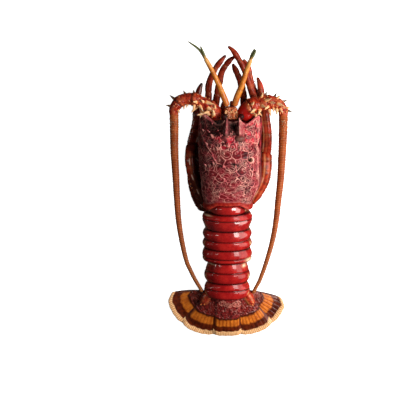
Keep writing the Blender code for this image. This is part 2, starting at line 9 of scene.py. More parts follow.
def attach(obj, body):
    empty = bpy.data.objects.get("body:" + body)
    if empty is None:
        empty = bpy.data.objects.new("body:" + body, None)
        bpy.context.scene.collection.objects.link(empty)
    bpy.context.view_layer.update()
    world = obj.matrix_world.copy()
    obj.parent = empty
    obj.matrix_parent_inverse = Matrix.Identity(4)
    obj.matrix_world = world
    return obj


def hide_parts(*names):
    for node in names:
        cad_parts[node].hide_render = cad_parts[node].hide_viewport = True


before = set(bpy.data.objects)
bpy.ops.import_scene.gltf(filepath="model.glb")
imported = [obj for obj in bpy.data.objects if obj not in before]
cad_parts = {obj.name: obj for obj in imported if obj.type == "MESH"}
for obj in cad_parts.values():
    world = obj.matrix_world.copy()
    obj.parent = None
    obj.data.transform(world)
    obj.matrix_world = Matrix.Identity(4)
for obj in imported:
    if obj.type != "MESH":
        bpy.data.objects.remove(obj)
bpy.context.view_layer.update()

mm = 0.001  # the lobster's sizes are in millimetres, its meshes and the studio's distances in metres
fullTurn = 2.0 * math.pi
marks = ("pale", "dark", "along", "spine", "calm", "burnt", "glossAndPaintedHighlight")  # values at each vertex for the finishes


# Small maths, on numbers or on arrays

def unit(value):
    return np.clip(value, 0.0, 1.0)


def smoothStep(value, low, high):
    share = unit((value - low) / (high - low))
    return share * share * (3.0 - 2.0 * share)


def hump(value, centre, width):
    return np.exp(-((value - centre) / width) ** 2)


def between(first, second, share):
    return first + (second - first) * share


def signedPower(value, power):
    return np.sign(value) * np.abs(value) ** power


# 0 on the first and the last row of a grid, which are drawn together, and 1 between them
def closedEnds(row, rows):
    return np.where((row == 0) | (row == rows), 0.0, 1.0)


# A wavy field with no repeat that shows, from a few turned waves
def ripple(first, second, size, seed):
    draw = np.random.default_rng(seed)
    total = np.zeros_like(first)
    waves = 7
    for _ in range(waves):
        turn, shift = draw.uniform(0.0, fullTurn, 2)
        reach = size * draw.uniform(0.6, 1.7)
        total += np.sin((first * math.cos(turn) + second * math.sin(turn)) * fullTurn / reach + shift)
    return total / waves ** 0.5


# Meshes

def newShape():
    shape = bmesh.new()
    for mark in marks:
        shape.verts.layers.float.new(mark)
    return shape


# A grid bent by place(across, along), which gives points in millimetres and the marks at them
def addSurface(shape, columns, rows, place):
    made = bmesh.ops.create_grid(shape, x_segments=columns, y_segments=rows, size=1.0)["verts"]
    flat = np.array([vert.co[:] for vert in made])
    points, values = place(0.5 * flat[:, 0] + 0.5, 0.5 * flat[:, 1] + 0.5)
    points = np.stack(points, axis=1) * mm
    for vert, point in zip(made, points):
        vert.co = point
    for mark, amounts in values.items():
        layer = shape.verts.layers.float[mark]
        amounts = np.broadcast_to(amounts, len(made))
        for vert, amount in zip(made, amounts):
            vert[layer] = amount
    weldReach = 0.02
    bmesh.ops.remove_doubles(shape, verts=made, dist=weldReach * mm)


def closeHoles(shape):
    bmesh.ops.holes_fill(shape, edges=[edge for edge in shape.edges if edge.is_boundary], sides=0)
    bmesh.ops.triangulate(shape, faces=[face for face in shape.faces if len(face.verts) > 4])


def addObject(name, data):
    made = bpy.data.objects.new(name, data)
    bpy.context.scene.collection.objects.link(made)
    return made


def addMesh(name, shape, paint):
    mesh = bpy.data.meshes.new(name)
    shape.to_mesh(mesh)
    shape.free()
    mesh.materials.append(paint)
    return addObject(name, mesh)


def finishPiece(name, shape, paint, nodes=()):
    bmesh.ops.recalc_face_normals(shape, faces=shape.faces)
    piece = addMesh(name, shape, paint)
    piece.data.shade_smooth()
    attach(piece, "root")
    if nodes:
        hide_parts(*nodes)


# Points read evenly from a smooth curve through the given ones; a fourth value, the radius, rides along
def readRoute(points, count):
    rows = np.array(points, float)
    rows = np.vstack([2 * rows[0] - rows[1], rows, 2 * rows[-1] - rows[-2]])
    fine = []
    stepsBetween = 24
    for before, start, end, after in zip(rows, rows[1:], rows[2:], rows[3:]):
        for step in np.arange(stepsBetween) / stepsBetween:
            fine.append(0.5 * (2 * start + (end - before) * step
                               + (2 * before - 5 * start + 4 * end - after) * step ** 2
                               + (3 * start - before - 3 * end + after) * step ** 3))
    fine.append(rows[-2])
    fine = np.array(fine)
    lengths = np.concatenate([[0.0], np.cumsum(np.linalg.norm(np.diff(fine[:, :3], axis=0), axis=1))])
    even = np.linspace(0.0, lengths[-1], count)
    return np.stack([np.interp(even, lengths, column) for column in fine.T], axis=1), lengths[-1]


# Directions across a route that turn with it and don't twist
def routeFrames(centres):
    ahead = np.gradient(centres, axis=0)
    ahead /= np.linalg.norm(ahead, axis=1)[:, None]
    side = np.cross(ahead[0], (0.0, 0.0, 1.0))
    sides = []
    for direction in ahead:
        side = side - direction * np.dot(side, direction)
        side = side / np.linalg.norm(side)
        sides.append(side)
    sides = np.array(sides)
    return ahead, sides, np.cross(sides, ahead)


# A closed tube along a route. form(turn, along) gives the share of the radius and the marks
def addTube(shape, route, sides, rows, form=None, radii=None, roundStart=True, roundEnd=True):
    table, length = readRoute(route, rows + 1)
    centres = table[:, :3]
    share = np.linspace(0.0, 1.0, rows + 1)
    thick = table[:, 3] if radii is None else radii(share)
    ends = np.ones(rows + 1)
    reach = share * length
    if roundStart:
        ends *= np.sqrt(1.0 - (1.0 - unit(reach / thick)) ** 2)
    if roundEnd:
        ends *= np.sqrt(1.0 - (1.0 - unit((length - reach) / thick)) ** 2)
    ends[0] = ends[-1] = 0.0
    _, side, up = routeFrames(centres)

    def place(around, along):
        row = np.rint(along * rows).astype(int)
        turn = fullTurn * around
        grow, values = form(turn, along) if form else (1.0, {})
        radius = (thick * ends)[row] * grow
        spot = centres[row] + side[row] * (np.cos(turn) * radius)[:, None]
        spot = spot + up[row] * (np.sin(turn) * radius)[:, None]
        return spot.T, {"along": along, **values}

    addSurface(shape, sides, rows, place)


# A pointed spine, a little curved, with a broad foot sunk into what carries it
def addSpine(shape, root, direction, length, radius, sides=8, rows=6, pale=0.0, spine=1.0, burnt=0.0):
    sunk = 0.3
    heading = Vector(direction).normalized()
    start = Vector(root) - heading * sunk * length
    bend = Vector((0.0, 0.0, 1.0)) * 0.08 * length
    route = []
    for share in (0.0, 0.35, 0.7, 1.0):
        spot = start + heading * length * (1.0 + sunk) * share + bend * (share * share - share)
        route.append((*spot, radius * (1.0 - share) ** 0.85 + 0.12))

    def form(turn, along):
        return 1.0, {"spine": spine * smoothStep(along, 0.18, 0.5), "pale": pale, "burnt": burnt}

    addTube(shape, route, sides, rows, form, roundStart=False)


# Shader maths: a wire is a socket that can be added to, multiplied and so on

class Wire:
    def __init__(self, finish, socket):
        self.finish = finish
        self.socket = socket

    def sum(self, operation, first, second):
        return self.finish.node("ShaderNodeMath", {"operation": operation}, {0: first, 1: second})

    def __add__(self, other):
        return self.sum("ADD", self, other)

    def __radd__(self, other):
        return self.sum("ADD", other, self)

    def __sub__(self, other):
        return self.sum("SUBTRACT", self, other)

    def __rsub__(self, other):
        return self.sum("SUBTRACT", other, self)

    def __mul__(self, other):
        return self.sum("MULTIPLY", self, other)

    def __rmul__(self, other):
        return self.sum("MULTIPLY", other, self)

    def held(self):
        return self.finish.node("ShaderNodeClamp", {}, {0: self})

    def steps(self, low, high, start=0.0, end=1.0):
        settings = {"interpolation_type": "SMOOTHSTEP"}
        return self.finish.node("ShaderNodeMapRange", settings, {0: self, 1: low, 2: high, 3: start, 4: end})


class Finish:
    def __init__(self, name, roughness, specular=0.5, coat=0.0, coatRoughness=0.1):
        self.material = bpy.data.materials.new(name)
        self.material.use_nodes = True
        self.tree = self.material.node_tree
        self.shader = self.tree.nodes["Principled BSDF"]
        self.shader.inputs["Roughness"].default_value = roughness
        self.shader.inputs["Specular IOR Level"].default_value = specular
        self.shader.inputs["Coat Weight"].default_value = coat
        self.shader.inputs["Coat Roughness"].default_value = coatRoughness

    # One node of any type: settings first, then values or links into its sockets
    def node(self, kind, settings=None, sockets=None, output=0):
        made = self.tree.nodes.new(kind)
        for name, value in (settings or {}).items():
            setattr(made, name, value)
        for name, value in (sockets or {}).items():
            self.feed(made.inputs[name], value)
        return Wire(self, made.outputs[output])

    def feed(self, socket, value):
        if isinstance(value, Wire):
            self.tree.links.new(value.socket, socket)
        elif isinstance(value, tuple) and socket.type == "RGBA":
            socket.default_value = (*value, 1.0)
        else:
            socket.default_value = value

    def put(self, name, value):
        self.feed(self.shader.inputs[name], value)

    def mark(self, name):
        return self.node("ShaderNodeAttribute", {"attribute_name": name}, output="Fac")

    # Object coordinates in millimetres
    def places(self, scale=(1.0, 1.0, 1.0)):
        spots = self.node("ShaderNodeTexCoord", output="Object")
        scale = tuple(1000.0 * share for share in scale)
        return self.node("ShaderNodeMapping", {}, {"Vector": spots, "Scale": scale})

    # Places pushed about by noise, so that cells don't have straight sides
    def warped(self, reach):
        sockets = {"Vector": self.places(), "Scale": 0.45, "Detail": 1.0}
        push = self.node("ShaderNodeTexNoise", {}, sockets, "Color")
        sockets = {0: push, "Scale": reach * 2.0}
        push = self.node("ShaderNodeVectorMath", {"operation": "SCALE"}, sockets, "Vector")
        return self.node("ShaderNodeVectorMath", {"operation": "ADD"}, {0: self.places(), 1: push}, "Vector")

    def noise(self, size, detail=3.0, spots=None):
        sockets = {"Vector": spots or self.places(), "Scale": 1.0 / size, "Detail": detail, "Roughness": 0.55}
        return self.node("ShaderNodeTexNoise", {}, sockets)

    def cells(self, size, feature="F1", spots=None):
        sockets = {"Vector": spots or self.places(), "Scale": 1.0 / size}
        return self.node("ShaderNodeTexVoronoi", {"feature": feature}, sockets)

    def mix(self, factor, first, second):
        return self.node("ShaderNodeMix", {"data_type": "RGBA"}, {0: factor, 6: first, 7: second}, output=2)

    # Two colours in patches of a size, which meet between two values of the noise
    def patchy(self, size, low, high, first, second):
        return self.mix(self.noise(size).steps(low, high), first, second)

    # A colour laid over another where a mark says so
    def over(self, mark, colour, laid):
        return self.mix(self.mark(mark).held(), colour, laid)

    def roughen(self, size, low, high, start, end):
        self.put("Roughness", self.noise(size).steps(low, high, start, end))

    def emboss(self, height, distance):
        self.put("Normal", self.node("ShaderNodeBump", {}, {"Height": height, "Distance": distance * mm}))


def shellFinish():
    finish = Finish("cookedShellMaroon", 0.4, specular=0.08, coat=0.14, coatRoughness=0.12)
    red = finish.patchy(11.0, 0.42, 0.6, (0.05, 0.003, 0.006), (0.15, 0.006, 0.011))
    front = finish.mark("along").steps(0.6, 0.75) * finish.noise(5.0).steps(0.5, 0.58)
    red = finish.mix(front, red, (0.4, 0.006, 0.022))
    # The dark mark carries dark grooves and also painted shade over the front left, the left margin, the
    # hollows by the horns and the closing rows.
    red = finish.over("dark", red, (0.01, 0.0025, 0.0025))
    lace = finish.cells(2.2, "DISTANCE_TO_EDGE", finish.warped(1.6)).steps(0.03, 0.13, 1.0, 0.0)
    lace = lace * finish.noise(6.0).steps(0.4, 0.62) * finish.mark("calm")
    grain = finish.cells(0.9).steps(0.1, 0.4, 1.0, 0.0) * finish.mark("calm")
    pink = finish.patchy(6.0, 0.4, 0.62, (0.56, 0.11, 0.12), (0.78, 0.34, 0.28))
    pale = (finish.mark("pale") + lace * 0.1 + grain * 0.05).held()
    colour = finish.mix(pale, red, pink)
    rim = finish.mark("along").steps(0.028, 0.048, 1.0, 0.0)
    rimRed = finish.patchy(3.0, 0.4, 0.65, (0.24, 0.007, 0.006), (0.4, 0.035, 0.018))
    rimRed = finish.over("dark", rimRed, (0.03, 0.003, 0.003))
    colour = finish.mix(rim * (1.0 - finish.mark("pale") * 0.6), colour, rimRed)
    tip = finish.mark("spine")
    colour = finish.mix(tip.steps(0.45, 1.0) * 0.85, colour, (0.07, 0.05, 0.025))
    finish.put("Base Color", colour)
    finish.roughen(2.5, 0.3, 0.7, 0.34, 0.55)
    finish.emboss(lace * 0.6 + grain * 0.5 + finish.noise(0.7, 2.0) * 0.4, 0.2)
    return finish.material


def tailFinish():
    finish = Finish("cookedTailRed", 0.24, specular=0.16, coatRoughness=0.08)
    finish.put("Coat IOR", 1.75)
    finish.put("Coat Weight", finish.mark("glossAndPaintedHighlight"))
    red = finish.patchy(8.0, 0.35, 0.68, (0.26, 0.005, 0.006), (0.4, 0.013, 0.011))
    red = finish.mix(finish.noise(1.1, 4.0).steps(0.55, 0.75) * 0.3, red, (0.5, 0.04, 0.025))
    red = finish.over("dark", red, (0.03, 0.002, 0.0025))
    cream = finish.patchy(2.0, 0.35, 0.6, (0.55, 0.17, 0.06), (0.6, 0.42, 0.22))
    cream = finish.mix(finish.mark("burnt"), cream, (0.72, 0.6, 0.42))
    finish.put("Base Color", finish.over("pale", red, cream))
    finish.roughen(1.6, 0.35, 0.7, 0.2, 0.36)
    pits = finish.cells(1.5).steps(0.0, 0.22)
    finish.emboss(pits * 0.2 + finish.noise(2.4, 3.0) * 0.3, 0.1)
    return finish.material


def baseFinish():
    finish = Finish("spinyFeelerRed", 0.36, specular=0.12, coat=0.3, coatRoughness=0.12)
    patches = finish.noise(2.4, 4.0)
    red = finish.mix(patches.steps(0.38, 0.62), (0.2, 0.005, 0.003), (0.47, 0.04, 0.013))
    grain = finish.cells(1.3).steps(0.1, 0.45, 1.0, 0.0)
    red = finish.mix(finish.mark("calm"), (0.3, 0.006, 0.004), red)
    red = finish.mix(grain * 0.3 * finish.mark("calm"), red, (0.58, 0.13, 0.04))
    red = finish.over("dark", red, (0.03, 0.004, 0.003))
    red = finish.over("pale", red, (0.64, 0.24, 0.09))
    cream = finish.patchy(1.5, 0.4, 0.6, (0.74, 0.34, 0.13), (0.8, 0.56, 0.32))
    horn = finish.mark("spine")
    colour = finish.mix(horn.steps(0.05, 0.45), red, (0.74, 0.22, 0.06))
    colour = finish.mix(horn.steps(0.3, 0.95), colour, cream)
    charred = finish.mark("burnt") * horn.steps(0.3, 0.8)
    finish.put("Base Color", finish.mix(charred, colour, (0.04, 0.028, 0.016)))
    finish.roughen(1.8, 0.3, 0.7, 0.26, 0.46)
    finish.emboss(grain * finish.mark("calm") + finish.noise(0.6, 2.0) * 0.3, 0.3)
    return finish.material


def whipFinish():
    finish = Finish("ringedFeelerBrown", 0.45, specular=0.1, coat=0.1, coatRoughness=0.2)
    patches = finish.noise(7.0)
    brown = finish.mix(patches.steps(0.35, 0.65), (0.27, 0.04, 0.007), (0.4, 0.08, 0.016))
    brown = finish.mix(finish.mark("along").steps(0.45, 1.0) * 0.6, brown, (0.27, 0.1, 0.026))
    brown = finish.over("pale", brown, (0.64, 0.24, 0.08))
    brown = finish.over("dark", brown, (0.06, 0.01, 0.003))
    colour = finish.mix(finish.mark("spine").steps(0.3, 0.8), brown, (0.4, 0.26, 0.14))
    finish.put("Base Color", colour)
    finish.put("Roughness", patches.steps(0.3, 0.7, 0.36, 0.5))
    finish.emboss(finish.noise(0.5, 2.0), 0.12)
    return finish.material


def amberFinish():
    finish = Finish("smallFeelerAmber", 0.38, specular=0.1, coat=0.22, coatRoughness=0.14)
    along = finish.mark("along")
    amber = finish.patchy(4.0, 0.35, 0.65, (0.4, 0.1, 0.01), (0.6, 0.22, 0.035))
    amber = finish.mix(along.steps(0.0, 0.25, 0.75, 0.0), amber, (0.34, 0.07, 0.014))
    amber = finish.mix(along.steps(0.5, 0.7) * 0.6, amber, (0.62, 0.36, 0.12))
    amber = finish.over("pale", amber, (0.09, 0.1, 0.035))
    finish.put("Base Color", finish.over("dark", amber, (0.05, 0.01, 0.004)))
    finish.roughen(1.4, 0.35, 0.65, 0.28, 0.42)
    finish.emboss(finish.noise(0.5, 3.0, spots=finish.places((1.0, 0.3, 1.0))), 0.1)
    return finish.material


def legFinish():
    finish = Finish("cookedLegBrown", 0.34, specular=0.06, coatRoughness=0.07)
    patches = finish.noise(5.0)
    red = finish.mix(patches.steps(0.35, 0.65), (0.15, 0.01, 0.005), (0.29, 0.03, 0.011))
    red = finish.mix(finish.mark("calm") * patches.steps(0.4, 0.6) * 0.7, red, (0.46, 0.03, 0.012))
    red = finish.mix(finish.noise(1.6, 4.0).steps(0.55, 0.75) * 0.2, red, (0.42, 0.1, 0.035))
    # The dark mark darkens joints and tips, and paints shadow on the left legs.
    red = finish.over("dark", red, (0.03, 0.006, 0.004))
    red = finish.over("pale", red, (0.6, 0.22, 0.085))
    # Painted highlight: near-white streaks laid over the legs.
    red = finish.over("glossAndPaintedHighlight", red, (0.9, 0.68, 0.55))
    finish.put("Base Color", red)
    finish.put("Coat Weight", finish.mark("burnt") * 0.45 + 0.1)
    finish.roughen(1.6, 0.35, 0.7, 0.24, 0.4)
    finish.emboss(finish.noise(1.1, 3.0), 0.08)
    return finish.material


def fanFinish():
    finish = Finish("tailFanBrown", 0.4, specular=0.18, coat=0.2, coatRoughness=0.16)
    inner = finish.mark("calm")  # 1 on the granular inner part
    fringe = finish.mark("burnt")  # 1 on the pale fringe
    ribs = finish.mark("spine")
    maroon = finish.patchy(3.5, 0.35, 0.65, (0.05, 0.005, 0.0008), (0.12, 0.014, 0.002))
    base = finish.patchy(3.5, 0.38, 0.62, (0.08, 0.005, 0.005), (0.2, 0.011, 0.01))
    webs = finish.cells(3.2, "DISTANCE_TO_EDGE", finish.warped(1.2)).steps(0.02, 0.1, 1.0, 0.0)
    specks = finish.cells(1.0).steps(0.1, 0.34, 1.0, 0.0)
    base = finish.mix(webs * 0.55 * finish.noise(4.0).steps(0.46, 0.62), base, (0.65, 0.24, 0.2))
    base = finish.mix(specks * 0.28 * finish.noise(2.0).steps(0.5, 0.66), base, (0.75, 0.4, 0.32))
    base = finish.mix(finish.mark("along") * 0.6, base, (0.8, 0.3, 0.22))
    golden = ribs * 0.6 + finish.noise(9.0).steps(0.35, 0.6) * 0.4
    amber = finish.mix(golden, (0.28, 0.045, 0.002), (0.66, 0.18, 0.018))
    amber = finish.mix(finish.noise(5.0).steps(0.42, 0.64) * 0.6, amber, (0.32, 0.06, 0.006))
    cream = finish.mix(ribs, (0.5, 0.18, 0.05), (0.84, 0.52, 0.26))
    cream = finish.mix(finish.noise(3.0).steps(0.5, 0.7) * 0.4, cream, (0.78, 0.34, 0.14))
    colour = finish.mix(inner, maroon, base)
    colour = finish.over("pale", colour, amber)
    colour = finish.mix(fringe, colour, cream)
    finish.put("Base Color", finish.over("dark", colour, (0.03, 0.005, 0.002)))
    finish.roughen(1.8, 0.35, 0.7, 0.34, 0.5)
    finish.emboss(specks * inner + finish.noise(0.7) * 0.4, 0.25)
    return finish.material


def eyeFinish():
    finish = Finish("eyeBlack", 0.4, specular=0.06, coat=0.04, coatRoughness=0.2)
    finish.put("Base Color", finish.patchy(2.0, 0.4, 0.6, (0.008, 0.002, 0.002), (0.05, 0.006, 0.005)))
    finish.roughen(1.0, 0.3, 0.7, 0.34, 0.5)
    finish.emboss(finish.cells(0.35), 0.03)
    return finish.material


def bellyFinish():
    finish = Finish("bellyPale", 0.48, specular=0.3, coat=0.15, coatRoughness=0.3)
    skin = finish.patchy(5.0, 0.35, 0.65, (0.3, 0.075, 0.025), (0.5, 0.21, 0.09))
    skin = finish.over("pale", skin, (0.6, 0.38, 0.22))
    skin = finish.over("dark", skin, (0.12, 0.02, 0.01))
    finish.put("Base Color", skin)
    finish.roughen(1.6, 0.35, 0.7, 0.38, 0.6)
    finish.emboss(finish.noise(0.8, 3.0), 0.18)
    return finish.material


print("finishes")
paintShell = shellFinish()
paintTail = tailFinish()
paintBase = baseFinish()
paintWhip = whipFinish()
paintAmber = amberFinish()
paintLeg = legFinish()
paintFan = fanFinish()
paintEye = eyeFinish()
paintBelly = bellyFinish()


# Carapace

shell = {
    "rearY": -33.6, "frontY": 50.0, "bottomZ": 12.0, "widestZ": 25.0, "halfWidth": 29.5, "topZ": 52.0,
    "shiftX": 1.2, "lean": 0.0875, "grooveY": 15.0, "grooveDepth": 1.4, "rimLength": 3.2,
    "headShiftX": 4.6, "hornSpread": 7.0, "hornLength": 19.5, "hornRadius": 6.0,
    "rightSwell": 2.6, "leftSwell": 1.6, "cornerReach": 5.0, "frontSwell": 3.4, "flankSwell": 3.5,
    "columns": 320, "rows": 250, "upperShare": 0.86, "arcReach": 44.0,
    "cellSize": 6.3, "lineWidth": 0.64, "ridgeHeight": 0.42, "seed": 11, "grooveCurve": 9.0,
    "field": (80.0, -68.0, 56.0), "mostSeeds": 7000,
    # Distances from the middle of the head, and how far the front edge runs ahead there
    "marginOff": (0.0, 5.0, 8.0, 10.0, 12.5, 15.0, 17.5, 20.0, 23.0, 27.5, 33.0),
    "marginReach": (-2.0, -1.0, 0.0, -2.6, -3.9, -4.3, -2.6, -0.8, 1.6, 4.8, 6.2),
    # The last rows at the rear and at the front: the share left of the section, and how far it is drawn in
    "rearShrink": (0.0, 0.8, 0.93, 0.98, 1.0), "rearBack": (0.4, 0.4, 0.1, 0.0, 0.0),
    "frontShrink": (1.0, 0.985, 0.95, 0.92, 0.89, 0.86, 0.7, 0.4, 0.0),
    "frontBack": (0.0, -0.2, 0.1, 1.2, 3.0, 5.0, 6.0, 6.4, 6.6),
    # Angle round the shell, place along it, length, radius, and how far the spine is burnt dark
    "spines": (
        (92.0, 26.0, 4.0, 2.0, 0.5), (66.0, 34.0, 4.6, 1.9, 0.4), (124.0, 34.0, 4.6, 1.9, 0.4),
        (48.0, 26.0, 4.2, 1.8, 0.4), (136.0, 26.0, 4.2, 1.8, 0.4), (30.0, 38.0, 4.4, 1.8, 0.4),
        (150.0, 38.0, 4.4, 1.8, 0.4), (72.0, 22.0, 3.6, 1.6, 0.5), (112.0, 22.0, 3.6, 1.6, 0.5),
        (60.0, 8.0, 2.8, 1.5, 0.5), (120.0, 8.0, 2.8, 1.5, 0.5), (80.0, 5.0, 2.6, 1.5, 0.5),
        (100.0, 5.0, 2.6, 1.5, 0.5), (140.0, 5.0, 2.8, 1.5, 0.5),
    ),
    "smallSpines": 70, "smallSeed": 29,
    # Points and radii of the lump behind each horn, counted from the middle of the head
    "lump": ((1.8, 31.6, 49.6, 2.4), (6.4, 32.6, 50.6, 3.1), (12.0, 32.6, 48.6, 2.0)),
}


def rimShare(y):
    return smoothStep(shell["rearY"] + shell["rimLength"] - y, -0.5, 2.0)


def shellHalfWidth(y):
    rear = between(24.6, shell["halfWidth"], smoothStep(y, shell["rearY"] - 6.0, 8.0))
    front = 3.0 * smoothStep(y, 24.0, shell["frontY"])
    return rear - front + 1.9 * rimShare(y)


def shellTop(y):
    rear = between(44.0, shell["topZ"], smoothStep(y, shell["rearY"] - 8.0, 12.0))
    front = 9.5 * smoothStep(y, 28.0, shell["frontY"] + 6.0)
    return rear - front + rimShare(y)


def shellPoint(y, angle, lift=0.0):
    turn = np.radians(angle)
    across = np.cos(turn)
    up = np.sin(turn)
    halfWidth = shellHalfWidth(y) + lift
    rimGroove = 0.9 * hump(y, shell["rearY"] + shell["rimLength"] + 1.0, 1.3)
    groove = shell["grooveDepth"] * hump(y, shell["grooveY"] + shell["grooveCurve"] * across ** 2, 2.2)
    groove = groove + rimGroove
    upper = up >= 0.0
    height = shellTop(y) + lift - shell["widestZ"]
    depth = shell["widestZ"] - shell["bottomZ"] + lift
    x = halfWidth * np.where(upper, signedPower(across, 0.92), signedPower(across, 0.55))
    z = shell["widestZ"] + np.where(upper, height * np.abs(up) ** 0.92, -depth * np.abs(up) ** 0.75)
    x = x - np.where(upper, groove * across, 0.0) + shell["shiftX"] * smoothStep(y, -28.0, -8.0)
    z = z - np.where(upper, groove * up, 0.0)
    lean = shell["lean"] * smoothStep(-y, 0.0, -shell["rearY"])
    return x, y - lean * (z - shell["widestZ"]), z


# Seeds of the raised network, thrown like darts that keep a distance
def throwSeeds(halfWidth, low, high, gap, seed):
    draw = np.random.default_rng(seed)
    kept = np.empty((0, 2))
    for spot in draw.uniform((-halfWidth, low), (halfWidth, high), (shell["mostSeeds"], 2)):
        away = np.sum((kept - spot) ** 2, axis=1)
        if len(kept) == 0 or np.min(away) > (gap * draw.uniform(0.8, 1.35)) ** 2:
            kept = np.vstack([kept, spot])
    return kept, draw.uniform(0.0, 1.0, len(kept))


# Distances to the nearest and the second nearest seed, and which seed is nearest
def nearSeeds(spots, seeds):
    tree = kdtree.KDTree(len(seeds))
    for number, seed in enumerate(seeds):
        tree.insert((*seed, 0.0), number)
    tree.balance()
    found = [tree.find_n((*spot, 0.0), 2) for spot in spots]
    near = np.array([(pair[0][2], pair[1][2], pair[0][1]) for pair in found])
    return near[:, 0], near[:, 1], near[:, 2].astype(int)


# The network is finer towards the rear, in cells that lie across the shell, so its pattern is laid out
# in these stretched places
def stretched(arc, y):
    finer = between(1.18, 1.0, smoothStep(y, -26.0, 24.0))
    wide = between(0.88, 1.0, smoothStep(y, -16.0, 6.0))
    return arc * finer * wide, y * finer / wide * np.where(y < -10.0, 1.0 + 0.02 * (-10.0 - y), 1.0)


# Height of the shell's relief in millimetres, with its marks
def shellRelief(y, angle):
    arc = (angle - 90.0) / 90.0 * shell["arcReach"]
    seeds, chance = throwSeeds(*shell["field"], shell["cellSize"], shell["seed"])
    wander = 0.8
    x, away = stretched(arc + wander * ripple(arc, y, 9.0, 3), y + wander * ripple(arc, y, 9.0, 4))
    first, second, which = nearSeeds(np.stack([x, away], axis=1), seeds)
    edge = second - first
    width = shell["lineWidth"] * between(1.25, 1.0, smoothStep(y, -26.0, 10.0))
    line = 1.0 - smoothStep(edge, 0.35 * width, 1.7 * width)
    line = line * np.clip(0.85 + 0.4 * ripple(arc, y, 12.0, 5), 0.2, 1.0)
    nested = hump(edge, 3.4, 0.55) * (chance[which] > 0.35) * smoothStep(first, 0.6, 1.2)
    ring = hump(first, 1.3, 0.4) * (chance[which] < 0.3)
    knob = hump(first, 0.0, 0.7) * (chance[which] < 0.3)
    top = (angle < 180.0) * 1.0
    rimEnd = shell["rearY"] + shell["rimLength"]
    rim = smoothStep(y, rimEnd + 1.6, rimEnd)
    calm = (1.0 - rim) * top
    keel = hump(arc - 37.0 - 0.03 * y, 0.0, 0.6) + hump(arc + 37.0 + 0.03 * y, 0.0, 0.6)
    keel = keel * smoothStep(y, -26.0, -18.0)
    keel += hump(arc - 10.7 - 0.67 * (y - 8.0), 0.0, 0.7) * smoothStep(y, 6.0, 10.0)
    keel += hump(arc + 33.0 + 0.02 * y, 0.0, 0.6) * smoothStep(y, -14.0, -6.0)
    stripes = rim * top * (0.5 + 0.5 * np.sin(y * fullTurn / 1.6)) * smoothStep(y, -31.6, -30.4)
    height = calm * (line * shell["ridgeHeight"] + nested * 0.22 + ring * 0.24 + knob * 0.6 - 0.15)
    height += calm * keel * 0.8 + 0.12 * stripes
    lip = 1.2 * hump(y, shell["frontY"] - 0.7, 1.1) * top
    across = np.abs(np.cos(np.radians(angle)))
    groove = hump(y, shell["grooveY"] + shell["grooveCurve"] * across ** 2, 1.5) * top
    arcs = hump(y, 7.4 - 0.03 * arc ** 2, 1.7) * (hump(arc, 8.0, 3.0) + hump(arc, -5.0, 4.2)) * top
    # Painted shade: the hollows beside the horns, the front left and the left margin of the shell are
    # darkened, with their pale lines dimmed, where shade falls.
    paintedHollowShade = smoothStep(y, 33.5, 37.0) * (hump(arc, -3.4, 5.2) + hump(arc, 12.4, 6.4)) * top
    paintedShellShade = smoothStep(arc, 9.0, 21.0) * smoothStep(y, 12.0, 30.0) * top
    paintedShellShade = paintedShellShade + 0.55 * smoothStep(arc, 20.0, 32.0) * smoothStep(y, -24.0, 6.0) * top * (1.0 - paintedShellShade)
    pale = calm * np.maximum(np.maximum(line, nested * 0.75), np.maximum(ring * 0.7, keel * 0.8))
    pale = unit(pale) * (1.0 - unit(paintedHollowShade * 1.2 + arcs + 0.68 * paintedShellShade))
    pale = unit(pale + lip * 0.9 * (1.0 - 0.8 * unit(paintedHollowShade)) + stripes * 0.4)
    dark = unit(0.3 * groove + 1.2 * arcs + 1.3 * paintedHollowShade + 0.8 * paintedShellShade) * (1.0 - 0.3 * line)
    return height, {"pale": pale, "dark": dark, "calm": calm}


# How far the front edge runs ahead of its plain line, over the eyes and out to the corners
def frontMargin(x):
    return np.interp(np.abs(x - shell["headShiftX"]), shell["marginOff"], shell["marginReach"])


